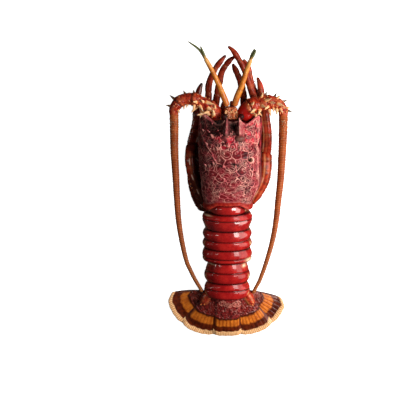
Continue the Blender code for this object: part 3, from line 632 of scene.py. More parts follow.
def shellPlace(across, along):
    rows = shell["rows"]
    row = np.rint(along * rows)
    body = unit((row - 4.0) / (rows - 12.0))
    y = between(shell["rearY"], shell["frontY"], body)
    share = shell["upperShare"]
    lower = 180.0 + 180.0 * (across - share) / (1.0 - share)
    angle = np.where(across < share, 180.0 * across / share, lower)
    height, values = shellRelief(y, angle)
    x, away, z = shellPoint(y, angle, height)
    swell = smoothStep(x, 16.0, 26.0) - 0.65 * smoothStep(-x, 16.0, 26.0)
    x = x + shell["frontSwell"] * swell * smoothStep(y, 26.0, 46.0)
    away = away + frontMargin(x) * smoothStep(y, 38.0, shell["frontY"]) * smoothStep(z, 20.0, 34.0)
    x = x + shell["rightSwell"] * smoothStep(x, 14.0, 26.0) * hump(y, -17.0, 13.0)
    x = x - shell["leftSwell"] * smoothStep(-x, 14.0, 26.0) * hump(y, 30.0, 16.0)
    flank = smoothStep(x, 16.0, 25.0) * hump(z, 19.0, 5.0) * smoothStep(y, -30.0, -20.0)
    x = x + shell["flankSwell"] * flank
    values["pale"] = np.maximum(values["pale"], 0.22 * flank)
    off = np.abs(x - 0.4)
    corner = smoothStep(off, 10.0, 22.0) * smoothStep(z, 13.0, 20.0) * smoothStep(y, -26.0, shell["rearY"])
    away = away - shell["cornerReach"] * corner
    x = x - np.sign(x) * 2.2 * corner * smoothStep(off, 20.0, 27.0)
    # The rear edge and the front opening turn inwards and close
    rearRows = np.arange(5)
    frontRows = np.arange(rows - 8, rows + 1)
    shrink = np.interp(row, rearRows, shell["rearShrink"])
    shrink *= np.interp(row, frontRows, shell["frontShrink"])
    back = np.interp(row, rearRows, shell["rearBack"]) - np.interp(row, frontRows, shell["frontBack"])
    middleZ = 30.0
    # Painted shade: the closing wall of the front opening is darkened, less on its right part, and so are the
    # closing rows at the rear edge.
    paintedOpeningShade = between(1.0, 0.35, smoothStep(x, 9.0, 15.0))
    values["dark"] = np.where(row > rows - 6, np.where(z > 22.0, paintedOpeningShade, 0.4), values["dark"])
    values["pale"] = np.where((row > rows - 5) | (row < 3), 0.0, values["pale"])
    values["dark"] = np.where(row < 3, 0.85, values["dark"])
    values["along"] = body
    return (x * shrink, away + back, middleZ + (z - middleZ) * shrink), values


# A tall thin horn over each eye, steep on both sides
def addHorn(shape, side):
    rows = 40
    root = np.array((shell["headShiftX"] + shell["hornSpread"] * side, 36.5, 47.0))
    heading = np.array((-0.06 * side, 1.0, 0.42))
    heading = heading / np.linalg.norm(heading)
    length = shell["hornLength"] * 1.28
    start = root - heading * 0.3 * shell["hornLength"]

    def place(around, along):
        turn = fullTurn * around
        row = np.rint(along * rows)
        thick = shell["hornRadius"] * 1.12 * (1.0 - along) ** 0.8 * closedEnds(row, rows)
        wide = signedPower(np.cos(turn), 1.15) * thick * (0.96 - 0.2 * np.sin(turn))
        high = np.sin(turn) * thick * (1.0 + 0.1 * hump(along, 0.3, 0.2))
        bumps = 0.16 * unit(ripple(turn * 5.0, along * 24.0, 3.0, 12))
        spot = start[:, None] + heading[:, None] * length * along
        x = spot[0] + wide * (1.0 + bumps)
        y = spot[1] - 0.39 * high
        z = spot[2] + 0.92 * high * (1.0 + bumps) - 1.6 * np.sin(math.pi * along) * (1.0 - along)
        ridge = hump(turn, 0.5 * math.pi, 0.22)
        # Painted shade: the left flank is darkened and loses its pale; on the left horn everything but a thin
        # ridge line is darkened.
        paintedSideShade = smoothStep(-np.cos(turn), -0.05, 0.3)
        if side < 0:
            paintedSideShade = np.clip(1.0 - 1.2 * hump(turn, 0.42 * math.pi, 0.3), 0.35, 1.0)
        pale = unit(0.38 + 0.5 * ridge + bumps) * smoothStep(along, 0.2, 0.4)
        pale = pale * (1.0 - 0.85 * paintedSideShade)
        tip = 0.5 * smoothStep(along, 0.8, 1.0)
        return (x, y, z), {"pale": pale, "spine": tip, "along": 0.5, "calm": 0.3, "dark": 0.85 * paintedSideShade}

    addSurface(shape, 40, rows, place)


def shellSpot(y, angle, lift=0.0):
    return [float(value) for value in shellPoint(np.float64(y), np.float64(angle), lift)]


def shellSpines(shape):
    # Each horn has a lump behind it, browned on the right
    for side, lumpMarks in ((-1, {"spine": 0.0, "pale": 0.2, "dark": 0.0, "along": 0.8}),
                            (1, {"spine": 0.68, "pale": 0.2, "dark": 0.3, "along": 0.5})):
        addHorn(shape, side)
        lump = [(shell["headShiftX"] + side * x, y, z, radius) for x, y, z, radius in shell["lump"]]
        addTube(shape, lump, 20, 16, lambda turn, along: (1.0, lumpMarks))
    for angle, y, length, radius, burnt in shell["spines"]:
        root = shellSpot(y, angle)
        outward = (root[0] * 0.03, 0.85, 0.35 + 0.5 * math.sin(math.radians(angle)))
        # Painted shade: spines on the left side are drawn less pale.
        pale = 0.75 if angle < 110.0 else 0.45
        addSpine(shape, root, outward, length, radius, sides=14, rows=10, pale=pale, spine=burnt)
    # One stout spine on the right points straight up, dark with a pale foot
    root = shellSpot(10.6, 46.0)
    addSpine(shape, root, (0.2, 0.12, 1.0), 2.0, 4.6, sides=20, rows=10, pale=1.0, spine=0.0)
    addSpine(shape, root, (0.08, 0.12, 1.0), 4.4, 3.0, sides=20, rows=10, pale=0.5, spine=1.6)
    # Small spines thrown over the front half, and one at each front corner
    draw = np.random.default_rng(shell["smallSeed"])
    for _ in range(shell["smallSpines"]):
        angle, y = draw.uniform(20.0, 160.0), draw.uniform(17.0, 47.0)
        root = shellSpot(y, angle, 0.1)
        outward = (root[0] * 0.03, 0.9, 0.3 + 0.5 * math.sin(math.radians(angle)))
        addSpine(shape, root, outward, draw.uniform(1.0, 2.2), 0.8, sides=7, rows=4, pale=0.8, spine=0.3)
    for side, angle in ((1, 6.0), (-1, 174.0)):
        corner = shellSpot(shell["frontY"] - 1.0, angle, -1.0)
        addSpine(shape, corner, (0.5 * side, 1.0, 0.1), 6.5, 1.8, sides=10, rows=8, pale=0.5, spine=0.4)


def makeShell():
    shape = newShape()
    addSurface(shape, shell["columns"], shell["rows"], shellPlace)
    shellSpines(shape)
    finishPiece("carapace_shell", shape, paintShell, ["carapace"])


# Tail rings

tail = {
    "lengths": (9.8, 17.1, 19.8, 13.4, 21.3, 14.9), "grooves": (0.5, 0.37, 0.53, 0.66, 0.47, 0.48),
    "grooveDepths": (0.0, 0.8, 0.9, 0.8, 1.5, 0.9), "halfWidths": (20.4, 24.2, 23.8, 24.0, 22.0, 22.2),
    # Where the side flaps of each ring stand out: places along the ring, and half lengths
    "flaps": ((), ((0.36, 0.34),), ((0.22, 0.24), (0.76, 0.24)), ((0.5, 0.7),),
              ((0.68, 0.34),), ((0.5, 0.4),)),
    # Gloss of each ring's front and rear band
    "glossAndPaintedHighlight": ((1.0, 1.0), (0.05, 1.0), (0.45, 0.2), (0.15, 0.1), (0.2, 0.2), (0.15, 0.3)),
    "leftSwell": 1.5, "rightSwell": 0.9, "flapSwell": 2.6, "flapHeight": 9.5, "lastExtra": 1.6,
    "topFrontZ": 45.0, "topRearZ": 30.5, "hemFrontZ": 11.0, "hemRearZ": 4.0, "gap": 0.3,
    "columns": 132, "rows": 46, "arcShare": 0.7,
}
# The underside from the left side to the right: share of the width, an offset, and height over the hem
under = {
    "wide": (-1.0, -1.0, -1.0, -1.0, -1.0, 0.0, 1.0, 1.0, 1.0, 1.0, 1.0),
    "off": (0.0, 0.35, 1.6, 3.4, 6.0, 0.0, -6.0, -3.4, -1.6, -0.35, 0.0),
    "up": (9.5, 5.0, 1.6, 0.0, 4.5, 5.5, 4.5, 0.0, 1.6, 5.0, 9.5),
}


def makeRing(number, front):
    length = tail["lengths"][number] + (tail["lastExtra"] if number == 5 else 0.0)
    groove = tail["grooves"][number] * tail["lengths"][number]
    depth = tail["grooveDepths"][number]
    grooved = depth > 0.0
    rows = tail["rows"]

    def place(across, along):
        row = np.rint(along * rows)
        run = unit((row - 2.0) / (rows - 4.0))
        reach = run * (length - tail["gap"])
        y = front - tail["gap"] - reach
        # Each band is crowned: it sinks at both ends and at the cross groove
        frontBand = unit(reach / groove)
        rearBand = unit((reach - groove) / (length - tail["gap"] - groove))
        sink = np.where(reach < groove, 1.5 * (1.0 - frontBand) ** 2.2 + 0.5 * grooved * frontBand ** 4,
                        0.5 * grooved * (1.0 - rearBand) ** 4 + 1.5 * rearBand ** 3.4)
        sink = sink + (depth - 0.2) * grooved * hump(reach, groove, 0.7)
        share = (shell["rearY"] - y) / sum(tail["lengths"])
        top = between(tail["topFrontZ"], tail["topRearZ"], share) - sink
        hem = between(tail["hemFrontZ"], tail["hemRearZ"], smoothStep(share, 0.0, 0.75))
        widest = hem + tail["flapHeight"]
        swell = np.full_like(reach, 0.5)
        flaps = [hump(reach / length, centre, width) for centre, width in tail["flaps"][number]]
        if flaps:
            swell = np.max(flaps, axis=0)
        wide = tail["halfWidths"][number] + tail["flapSwell"] * (swell - 1.0) - 0.8 * sink
        arc = across < tail["arcShare"]
        turn = math.pi * unit(across / tail["arcShare"])
        low = unit((across - tail["arcShare"]) / (1.0 - tail["arcShare"]))
        knots = np.linspace(0.0, 1.0, len(under["wide"]))
        underWide, underOff, underUp = (np.interp(low, knots, under[key]) for key in ("wide", "off", "up"))
        x = np.where(arc, wide * signedPower(np.cos(turn), 0.9), wide * underWide + underOff)
        z = np.where(arc, widest + (top - widest) * np.abs(np.sin(turn)) ** 0.95, hem + underUp)
        y = y - shell["lean"] * (z - widest)
        shrink = np.interp(row, [0, 1, 2, rows - 2, rows - 1, rows], [0.0, 0.9, 1.0, 1.0, 0.9, 0.0])
        middle = 0.5 * (top + hem)
        side = smoothStep(np.abs(x), wide - 4.5, wide - 0.5) * smoothStep(z, hem + 24.0, hem + 10.0)
        edge = hump(reach, length - 0.5, 0.9) + hump(reach, 0.0, 0.8)
        edge = edge + hump(reach, groove, 0.7) * grooved
        spots = hump(np.abs(np.cos(turn)), 0.93, 0.03) * hump(run, 0.7, 0.1)
        specks = smoothStep(ripple(x, y * 3.0, 7.0, number + 20), -0.5, 1.0)
        flecks = 0.45 + 0.9 * smoothStep(ripple(z, y, 3.2, number + 70), 0.5, 1.3)
        specks = np.where(x > 0.0, flecks, 1.0) * specks
        pale = unit(0.5 * side * specks + spots)
        # Pale, thin hems on the left where the second and the fifth ring begin, and on the right a pale spot
        # each on the fourth and the fifth
        paleHem = hump(reach, 1.4, 0.7) * hump(np.cos(turn), -0.86, 0.16) * (number in (1, 4))
        paleSpot = hump(reach, 3.0, 1.7) * (number == 4) + hump(reach, 10.5, 1.9) * (number == 3)
        paleSpot = hump(np.cos(turn), 0.84, 0.1) * paleSpot
        pale = np.where(arc, unit(pale + paleHem + paleSpot), 0.2)
        dark = unit(0.9 * edge * arc) * (1.0 - paleHem)
        left, right = smoothStep(-x, 16.0, 21.0), smoothStep(x, 16.0, 21.0)
        x = x - tail["leftSwell"] * left + tail["rightSwell"] * right
        glossAndPaintedHighlight = np.where((reach < groove) & grooved, *tail["glossAndPaintedHighlight"][number])
        burnt = unit(paleHem + paleSpot)
        values = {"pale": pale, "dark": dark, "along": share, "glossAndPaintedHighlight": glossAndPaintedHighlight, "burnt": burnt}
        return (x * shrink, y, middle + (z - middle) * shrink), values

    shape = newShape()
    addSurface(shape, tail["columns"], rows, place)
    finishPiece(f"tail_band_{number + 1}", shape, paintTail, [f"tail_ring_{number + 1}"])


def makeTail():
    front = shell["rearY"]
    for number, length in enumerate(tail["lengths"]):
        makeRing(number, front)
        front -= length


# Tail fan

fan = {
    "centreY": -124.5, "reachBack": 49.3, "reachSide": 61.9, "reachCorner": 2.8, "rootReach": 7.0,
    "rootZ": 27.2, "rimZ": 5.7, "fallLength": 45.0, "thickness": 1.5, "layerStep": 1.9,
    "columns": 150, "rows": 110, "wallRows": 6, "fringe": 4.5, "ribsPerRadian": 13.0,
    "patchStarts": (10.2, 11.4, 12.6), "patchEnds": (17.6, 19.8, 22.6), "leftPatchCut": 1.8,
    # Curled pale lines on the middle of the telson's base: centre, half width and half height
    "curls": ((9.4, -138.3, 4.4, 2.9), (-5.0, -137.2, 3.4, 2.4), (1.6, -139.6, 2.6, 2.2)),
    "joint": ((17.6, -126.0, 14.5, 5.2), (20.0, -131.0, 14.5, 5.8),
              (23.0, -136.0, 13.6, 5.2), (26.4, -140.2, 12.2, 3.4)),
}


def fanReach(turn):
    corner = fan["reachCorner"] * np.sin(2.0 * turn) ** 2
    return fan["reachBack"] + (fan["reachSide"] - fan["reachBack"]) * np.sin(turn) ** 2 + corner


def fanHeight(reach, layer):
    fall = np.clip(1.0 - (reach - fan["rootReach"]) / fan["fallLength"], 0.0, None)
    return fan["rimZ"] + (fan["rootZ"] - fan["rimZ"]) * fall ** 1.25 - layer * fan["layerStep"]


def makeBlade(node, layer, rootStart, rootEnd, firstAngle, lastAngle, rootThickness, trim=0.0, bulge=0.0):
    upperRows = fan["rows"]
    wall = fan["wallRows"]
    droop = 1.5 if layer < 2 else 0.3
    patchStart, patchEnd = fan["patchStarts"][layer], fan["patchEnds"][layer]
    patchEnd = patchEnd - (fan["leftPatchCut"] if node == "fan_outer_left" else 0.0)
    ribDepth = 0.3 if node.endswith("left") else 1.0
    rows = 2 * upperRows + wall

    def place(across, along):
        row = np.rint(along * rows)
        top = row <= upperRows
        run = np.where(top, row / upperRows, unit((rows - row) / upperRows))
        edge = 2.0 * across - 1.0
        turn = np.radians(between(firstAngle, lastAngle, across))
        reach = fanReach(turn) * (1.0 - 0.06 * np.abs(edge) ** 5)
        reach = reach * (1.0 - trim * smoothStep(across, 0.7, 1.0))
        reach = reach + 0.14 * np.sin(across * abs(lastAngle - firstAngle) * 0.9)
        rimX = reach * np.sin(turn)
        rimY = fan["centreY"] - reach * np.cos(turn)
        x = between(between(rootStart[0], rootEnd[0], across), rimX, run)
        y = between(between(rootStart[1], rootEnd[1], across), rimY, run)
        y = y + bulge * np.sin(math.pi * run) * smoothStep(across, 0.5, 1.0)
        distance = np.hypot(x, y - fan["centreY"])
        inFrom = reach - distance + 0.35 * ripple(x, y, 9.0, 33)
        crown = 0.9 * (1.0 - edge ** 2) * np.sin(math.pi * run)
        ribTurn = turn * fan["ribsPerRadian"] * fullTurn
        rib = smoothStep(np.sin(ribTurn), -0.95, 0.2)
        fine = smoothStep(np.sin(ribTurn * 2.3 + 0.8 * ripple(x, y, 6.0, 34)), -0.95, 0.0)
        hem = fan["fringe"] * (1.0 - 0.32 * (layer == 2) * smoothStep(across, 0.45, 1.0))
        fringe = 1.0 - smoothStep(inFrom, hem - 0.5, hem + 0.5)
        ruff = 0.35 * fringe * np.sin(math.pi * unit(inFrom / hem))
        patch = smoothStep(inFrom, patchStart - 1.1, patchStart + 1.1)
        patch = patch * (1.0 - smoothStep(inFrom, patchEnd - 1.3, patchEnd + 0.9))
        patch = patch * (1.0 - smoothStep(np.abs(edge), 0.74, 0.9))
        inner = smoothStep(inFrom, patchEnd + 0.4, patchEnd + 2.4)
        relief = 0.16 * rib * (1.0 - inner) * (1.0 - fringe) + 0.14 * fine * fringe + ruff
        grains = 0.5 * unit(ripple(x, y, 2.6, 31)) * inner
        grains = grains + 0.5 * hump(inFrom, patchEnd + 2.0, 0.8)
        curls = 0.0
        for centreX, centreY, wide, high in fan["curls"]:
            around = np.hypot((x - centreX) / wide, (y - centreY) / high)
            rings = np.maximum(hump(around, 1.0, 0.13), 0.8 * hump(around, 0.5, 0.14))
            curls = np.maximum(curls, rings * (layer == 0))
        height = fanHeight(np.maximum(distance, fan["rootReach"]), layer) + crown
        thick = fan["thickness"] + (rootThickness - fan["thickness"]) * (1.0 - run) ** 3
        thin = 1.0 - 0.45 * smoothStep(np.abs(edge), 0.9, 1.0) - 0.25 * fringe
        sag = droop * smoothStep(np.abs(edge), 0.7, 1.0)
        upper = height + relief + grains + 0.3 * curls - sag
        lower = height - np.maximum(thick * thin, sag + 0.3)
        onWall = (row > upperRows) & (row < upperRows + wall)
        z = np.where(top, upper, lower)
        z = np.where(onWall, between(upper, lower, (row - upperRows) / wall), z)
        out = 0.3 * np.sin(math.pi * unit((row - upperRows) / wall))
        x = x + out * np.sin(turn)
        y = y - out * np.cos(turn)
        dark = 0.7 * smoothStep(np.abs(edge), 0.95, 0.99) * (1.0 - fringe) * (1.0 - 0.9 * inner)
        dark = dark + 0.5 * hump(inFrom, patchEnd + 1.2, 0.8)
        inner = inner * (1.0, 0.8, 0.45)[layer]
        ribs = np.where(fringe > 0.5, fine, between(1.0, rib, ribDepth))
        return (x, y, z), {"pale": patch, "dark": unit(dark), "along": curls,
                           "spine": ribs, "calm": inner, "burnt": fringe}

    shape = newShape()
    addSurface(shape, fan["columns"], rows, place)
    closeHoles(shape)
    finishPiece(node + "_blade", shape, paintFan, [node])


# The short spiny joint that carries each pair of side blades, beside the last tail band
def makeFanJoint(name, side):
    route = [(side * x, y, z, radius) for x, y, z, radius in fan["joint"]]
    shape = newShape()

    def form(turn, along):
        lines = hump(np.sin(turn), 0.86, 0.06) + hump(np.cos(turn), side * 0.75, 0.08)
        # Painted shade: the left joint is drawn darker, with dimmer pale lines.
        pale, dark = (0.8, 0.0) if side > 0 else (0.3, 0.5)
        return 1.0 + 0.04 * lines, {"pale": pale * unit(lines), "calm": 1.0, "dark": dark}

    addTube(shape, route, 28, 40, form)
    for share, angle in ((0.5, 70.0), (0.7, 110.0), (0.85, 80.0)):
        here, outward, ahead, radius = skinSpot(route, share, angle)
        addSpine(shape, here + outward * radius * 0.8, outward * 0.4 + ahead, 2.6, 1.0, spine=0.4)
    finishPiece(f"fan_joint_{name}", shape, paintBase)


def makeFan():
    makeBlade("telson", 0, (-13.5, -129.0), (13.5, -129.0), -17.5, 17.5, 4.0)
    for side, name, leadAngle, trim in ((-1, "left", 85.0, 0.05), (1, "right", 79.5, 0.06)):
        makeBlade("fan_inner_" + name, 1, (side * 7.0, -129.6), (side * 21.0, -127.6),
                  side * 12.5, side * 53.5, 3.6)
        makeBlade("fan_outer_" + name, 2, (side * 17.0, -129.6), (side * 23.2, -125.4),
                  side * 47.5, side * leadAngle, 3.2, trim=trim, bulge=0.8)
        makeFanJoint(name, side)


# Feelers: routes are points with a radius, spines are places along, angles round, lengths and leans

antennaBases = {
    "right": {
        "route": (
            (17.4, 47.6, 27.4, 7.0), (17.6, 51.6, 28.0, 7.6), (17.8, 57.2, 28.2, 8.0),
            (25.6, 62.8, 29.4, 8.8), (31.0, 64.8, 29.8, 7.4), (38.8, 66.4, 30.0, 7.7),
            (45.5, 65.6, 30.0, 6.2), (50.0, 63.6, 29.8, 6.2), (54.4, 58.6, 29.0, 4.8),
            (54.9, 53.2, 28.0, 4.4),
        ),
        "dome": 0.21,
        "spines": (
            (0.27, 60, 6.5, 0.5), (0.34, 110, 8.0, 0.6), (0.36, 30, 7.0, 0.4), (0.47, 75, 8.5, 0.6),
            (0.5, 150, 6.5, 0.5), (0.62, 20, 9.0, 0.3), (0.64, 95, 7.5, 0.7), (0.72, 160, 6.0, 0.5),
            (0.78, 50, 9.0, 0.5), (0.86, 120, 5.0, 0.6), (0.9, 200, 5.0, 0.4), (0.3, 15, 7.5, -0.3),
            (0.7, 40, 6.0, 0.3), (0.36, 70, 8.0, -1.4), (0.44, 45, 8.5, -0.5), (0.55, 110, 9.0, 1.2),
            (0.6, 60, 7.5, -0.6), (0.74, 100, 9.0, 1.3), (0.83, 75, 7.0, 0.9),
        ),
        "burntSpines": (
            (0.68, 190, 5.5, 0.3), (0.8, 175, 5.0, 0.5), (0.92, 165, 5.5, 0.4), (0.56, 185, 4.5, 0.4),
        ),
    },
    "left": {
        "route": (
            (-13.0, 47.4, 27.8, 6.4), (-13.2, 51.4, 28.5, 6.6), (-13.6, 56.6, 28.7, 7.2),
            (-19.6, 62.2, 29.6, 7.4), (-26.4, 66.0, 30.0, 6.0), (-34.0, 69.4, 30.0, 6.6),
            (-41.4, 69.6, 30.0, 5.6), (-47.6, 67.0, 29.8, 6.0), (-53.0, 60.4, 29.0, 4.9),
            (-53.6, 54.8, 28.0, 4.4),
        ),
        "dome": 0.0,
        "spines": (
            (0.1, 100, 11.0, 0.9), (0.24, 120, 9.5, 0.5), (0.34, 170, 8.5, -0.2), (0.44, 165, 9.0, 0.3),
            (0.48, 100, 7.0, 0.6), (0.64, 165, 4.5, 0.5), (0.74, 175, 4.5, 0.5), (0.9, 150, 4.0, 0.4),
            (0.3, 200, 5.0, 0.4), (0.2, 60, 6.5, 0.6), (0.38, 70, 6.0, 0.8), (0.3, 95, 9.0, -1.6),
            (0.36, 60, 10.0, -1.8), (0.42, 120, 9.0, -0.8), (0.18, 130, 9.0, 1.4), (0.5, 140, 7.0, -0.2),
            (0.27, 150, 10.5, 0.6),
        ),
        "burntSpines": (
            (0.8, -10, 7.0, 0.1), (0.9, 10, 5.4, 0.2), (0.66, -5, 4.5, 0.4), (0.55, 0, 4.0, 0.4),
        ),
    },
    "joints": (0.3, 0.58, 0.8), "sides": 44, "rows": 150, "smallSpines": 44,
    "seeds": {"left": 17, "right": 19},
}
whips = {
    "right": (
        (54.8, 55.6, 28.4), (54.9, 44.0, 26.0), (54.4, 18.0, 20.5), (52.9, -13.1, 16.0),
        (50.9, -33.4, 14.5), (48.9, -53.8, 13.5), (45.4, -74.0, 13.5), (39.9, -94.2, 13.8),
        (33.2, -113.5, 14.6), (28.9, -122.0, 15.2), (25.6, -128.4, 16.0),
    ),
    "left": (
        (-53.5, 57.2, 28.3), (-53.2, 45.0, 26.0), (-53.1, 18.0, 20.5), (-51.6, -13.1, 16.0),
        (-50.6, -33.4, 14.5), (-49.1, -53.8, 13.5), (-46.1, -74.0, 13.5), (-41.6, -94.2, 13.8),
        (-37.6, -104.1, 14.2), (-32.6, -114.2, 14.8), (-27.9, -122.0, 15.4), (-25.2, -126.6, 15.9),
    ),
    "baseRadius": 4.6, "endRadius": 1.8, "ringStep": 1.8, "sides": 18, "rowsPerRing": 6, "barbs": 70,
    "seeds": {"left": 37, "right": 38},
}
antennules = {
    "left": {
        "stem": (
            (-0.4, 62.4, 32.0, 2.6), (-4.2, 72.0, 33.5, 2.7), (-10.0, 86.0, 35.0, 2.4),
            (-16.5, 99.5, 36.4, 2.1), (-22.6, 110.6, 37.6, 1.8),
        ),
        "ends": (((-21.8, 109.2, 37.5, 1.4), (-27.6, 118.0, 38.4, 1.1), (-33.2, 122.8, 39.0, 0.9),
                  (-39.4, 127.0, 39.4, 0.5)),
                 ((-22.2, 110.0, 38.2, 1.2), (-24.6, 116.4, 39.4, 1.0), (-27.2, 122.4, 40.2, 0.6))),
    },
    "right": {
        "stem": (
            (6.0, 62.4, 32.0, 2.7), (9.0, 72.0, 33.5, 2.8), (12.9, 82.0, 35.0, 2.6),
            (18.4, 99.0, 36.4, 2.2), (22.4, 109.6, 37.6, 1.9),
        ),
        "ends": (((21.8, 108.4, 37.4, 1.4), (23.6, 114.6, 38.2, 1.2), (26.0, 119.8, 38.6, 0.6)),
                 ((22.3, 109.4, 38.4, 1.2), (25.2, 114.4, 39.4, 1.1), (27.4, 119.0, 39.8, 0.6))),
    },
    "joints": (0.36, 0.7),
}


# Rings round a tube at its joints, or a little before them
def atJoints(share, joints, width, before=0.0):
    return sum(hump(share, joint - before, width) for joint in joints)


# A spot on a tube's skin, with the directions out of it and along it
def skinSpot(route, share, angle):
    steps = 59
    table, _ = readRoute(route, steps + 1)
    place = share * steps
    index = min(int(place), steps - 1)
    here = between(table[index], table[index + 1], place - index)
    ahead = Vector(table[index + 1][:3] - table[index][:3]).normalized()
    sideways = ahead.cross(Vector((0.0, 0.0, 1.0))).normalized()
    upward = sideways.cross(ahead)
    turn = math.radians(angle)
    outward = sideways * math.cos(turn) + upward * math.sin(turn)
    return Vector(here[:3]), outward, ahead, here[3]


def makeAntennaBase(name):
    data = antennaBases[name]
    joints = antennaBases["joints"]
    dome = data["dome"]

    def form(turn, along):
        waist = atJoints(along, joints, 0.016)
        collar = atJoints(along, joints, 0.02, 0.035)
        rough = smoothStep(along, dome, dome + 0.06) if dome else np.ones_like(along)
        bumps = np.clip(ripple(along * 70.0, turn * 6.0, 3.4, 41), 0.0, 2.0) * rough
        crest = unit(ripple(along * 40.0, turn * 5.0, 6.0, 43)) * hump(turn, 1.9, 0.8) * rough
        grow = 1.0 - 0.1 * waist + 0.03 * collar + 0.05 * bumps
        # Painted shade: the whole left base is darkened a little.
        paintedSideShade = 0.12 if name == "left" else 0.0
        return grow, {"dark": paintedSideShade + 0.6 * waist, "pale": 0.15 * collar + 0.3 * crest, "calm": rough}

    shape = newShape()
    addTube(shape, data["route"], antennaBases["sides"], antennaBases["rows"], form, roundEnd=False)
    for burnt, spines in ((0.0, data["spines"]), (0.9, data["burntSpines"])):
        for share, angle, length, lean in spines:
            here, outward, ahead, radius = skinSpot(data["route"], share, angle)
            root = here + outward * radius * 0.86
            foot = 0.16 * length + 1.0
            addSpine(shape, root, outward + ahead * lean, length, foot, sides=14, rows=12, burnt=burnt)
    draw = np.random.default_rng(antennaBases["seeds"][name])
    for _ in range(antennaBases["smallSpines"]):
        share, angle = draw.uniform(dome + 0.04, 0.95), draw.uniform(-60.0, 240.0)
        length = draw.uniform(1.2, 3.0)
        length = length * (0.6 if name == "left" and share > 0.5 else 1.0)
        here, outward, ahead, radius = skinSpot(data["route"], share, angle)
        addSpine(shape, here + outward * radius * 0.95, outward + ahead * 0.6, length, 0.3 * length + 0.25,
                 sides=7, rows=4, spine=0.6)
    finishPiece(f"antenna_base_{name}_shell", shape, paintBase, [f"antenna_base_{name}"])


def makeWhip(name):
    route = whips[name]
    length = readRoute(route, 50)[1]
    rings = round(length / whips["ringStep"])

    def radii(share):
        return between(whips["baseRadius"], whips["endRadius"], share)

    def form(turn, along):
        phase = (along * rings) % 1.0
        ridge = np.sin(math.pi * phase) ** 2
        beads = unit(np.sin(turn * 5.0 + 2.4 * np.floor(along * rings))) ** 3
        beads = beads * hump(phase, 0.7, 0.14)
        grow = 0.95 + 0.07 * ridge + 0.12 * beads
        return grow, {"pale": 0.3 * beads + 0.3 * hump(phase, 0.7, 0.18), "dark": 0.7 * (1.0 - ridge) ** 3}

    shape = newShape()
    addTube(shape, route, whips["sides"], rings * whips["rowsPerRing"], form, radii, roundStart=False)
    # Small barbs near the base, which lean towards the tip
    draw = np.random.default_rng(whips["seeds"][name])
    thick = [(*spot, 0.0) for spot in route]
    for _ in range(whips["barbs"]):
        share, angle = 0.03 + 0.3 * draw.uniform(0.0, 1.0) ** 1.6, draw.uniform(0.0, 360.0)
        here, outward, ahead, _ = skinSpot(thick, share, angle)
        size = between(1.9, 0.9, share / 0.33)
        addSpine(shape, here + outward * float(radii(share)) * 0.9, outward + ahead * 1.2, size, 0.42,
                 sides=6, rows=4, spine=0.7)
    finishPiece(f"antenna_whip_{name}_ringed", shape, paintWhip, [f"antenna_whip_{name}"])


def makeAntennule(name):
    data = antennules[name]

    def stemForm(turn, along):
        waist = atJoints(along, antennules["joints"], 0.012)
        collar = atJoints(along, antennules["joints"], 0.02, 0.03)
        return 1.12 - 0.06 * waist + 0.03 * collar, {"dark": 0.25 * waist, "along": 0.72 * along}

    def endForm(turn, along):
        grow = 0.94 + 0.06 * np.sin(math.pi * (along * 30.0 % 1.0))
        return grow, {"along": 0.72 + 0.28 * along, "pale": smoothStep(along, -0.1, 0.4)}

    shape = newShape()
    addTube(shape, data["stem"], 20, 90, stemForm)
    for ends in data["ends"]:
        ends = [(x, y, z, 1.25 * radius) for x, y, z, radius in ends]
        addTube(shape, ends, 12, 90, endForm)
    finishPiece(f"antennule_{name}_jointed", shape, paintAmber, [f"antennule_{name}"])


# Legs: each has its radius at the hip and the route of its middle line

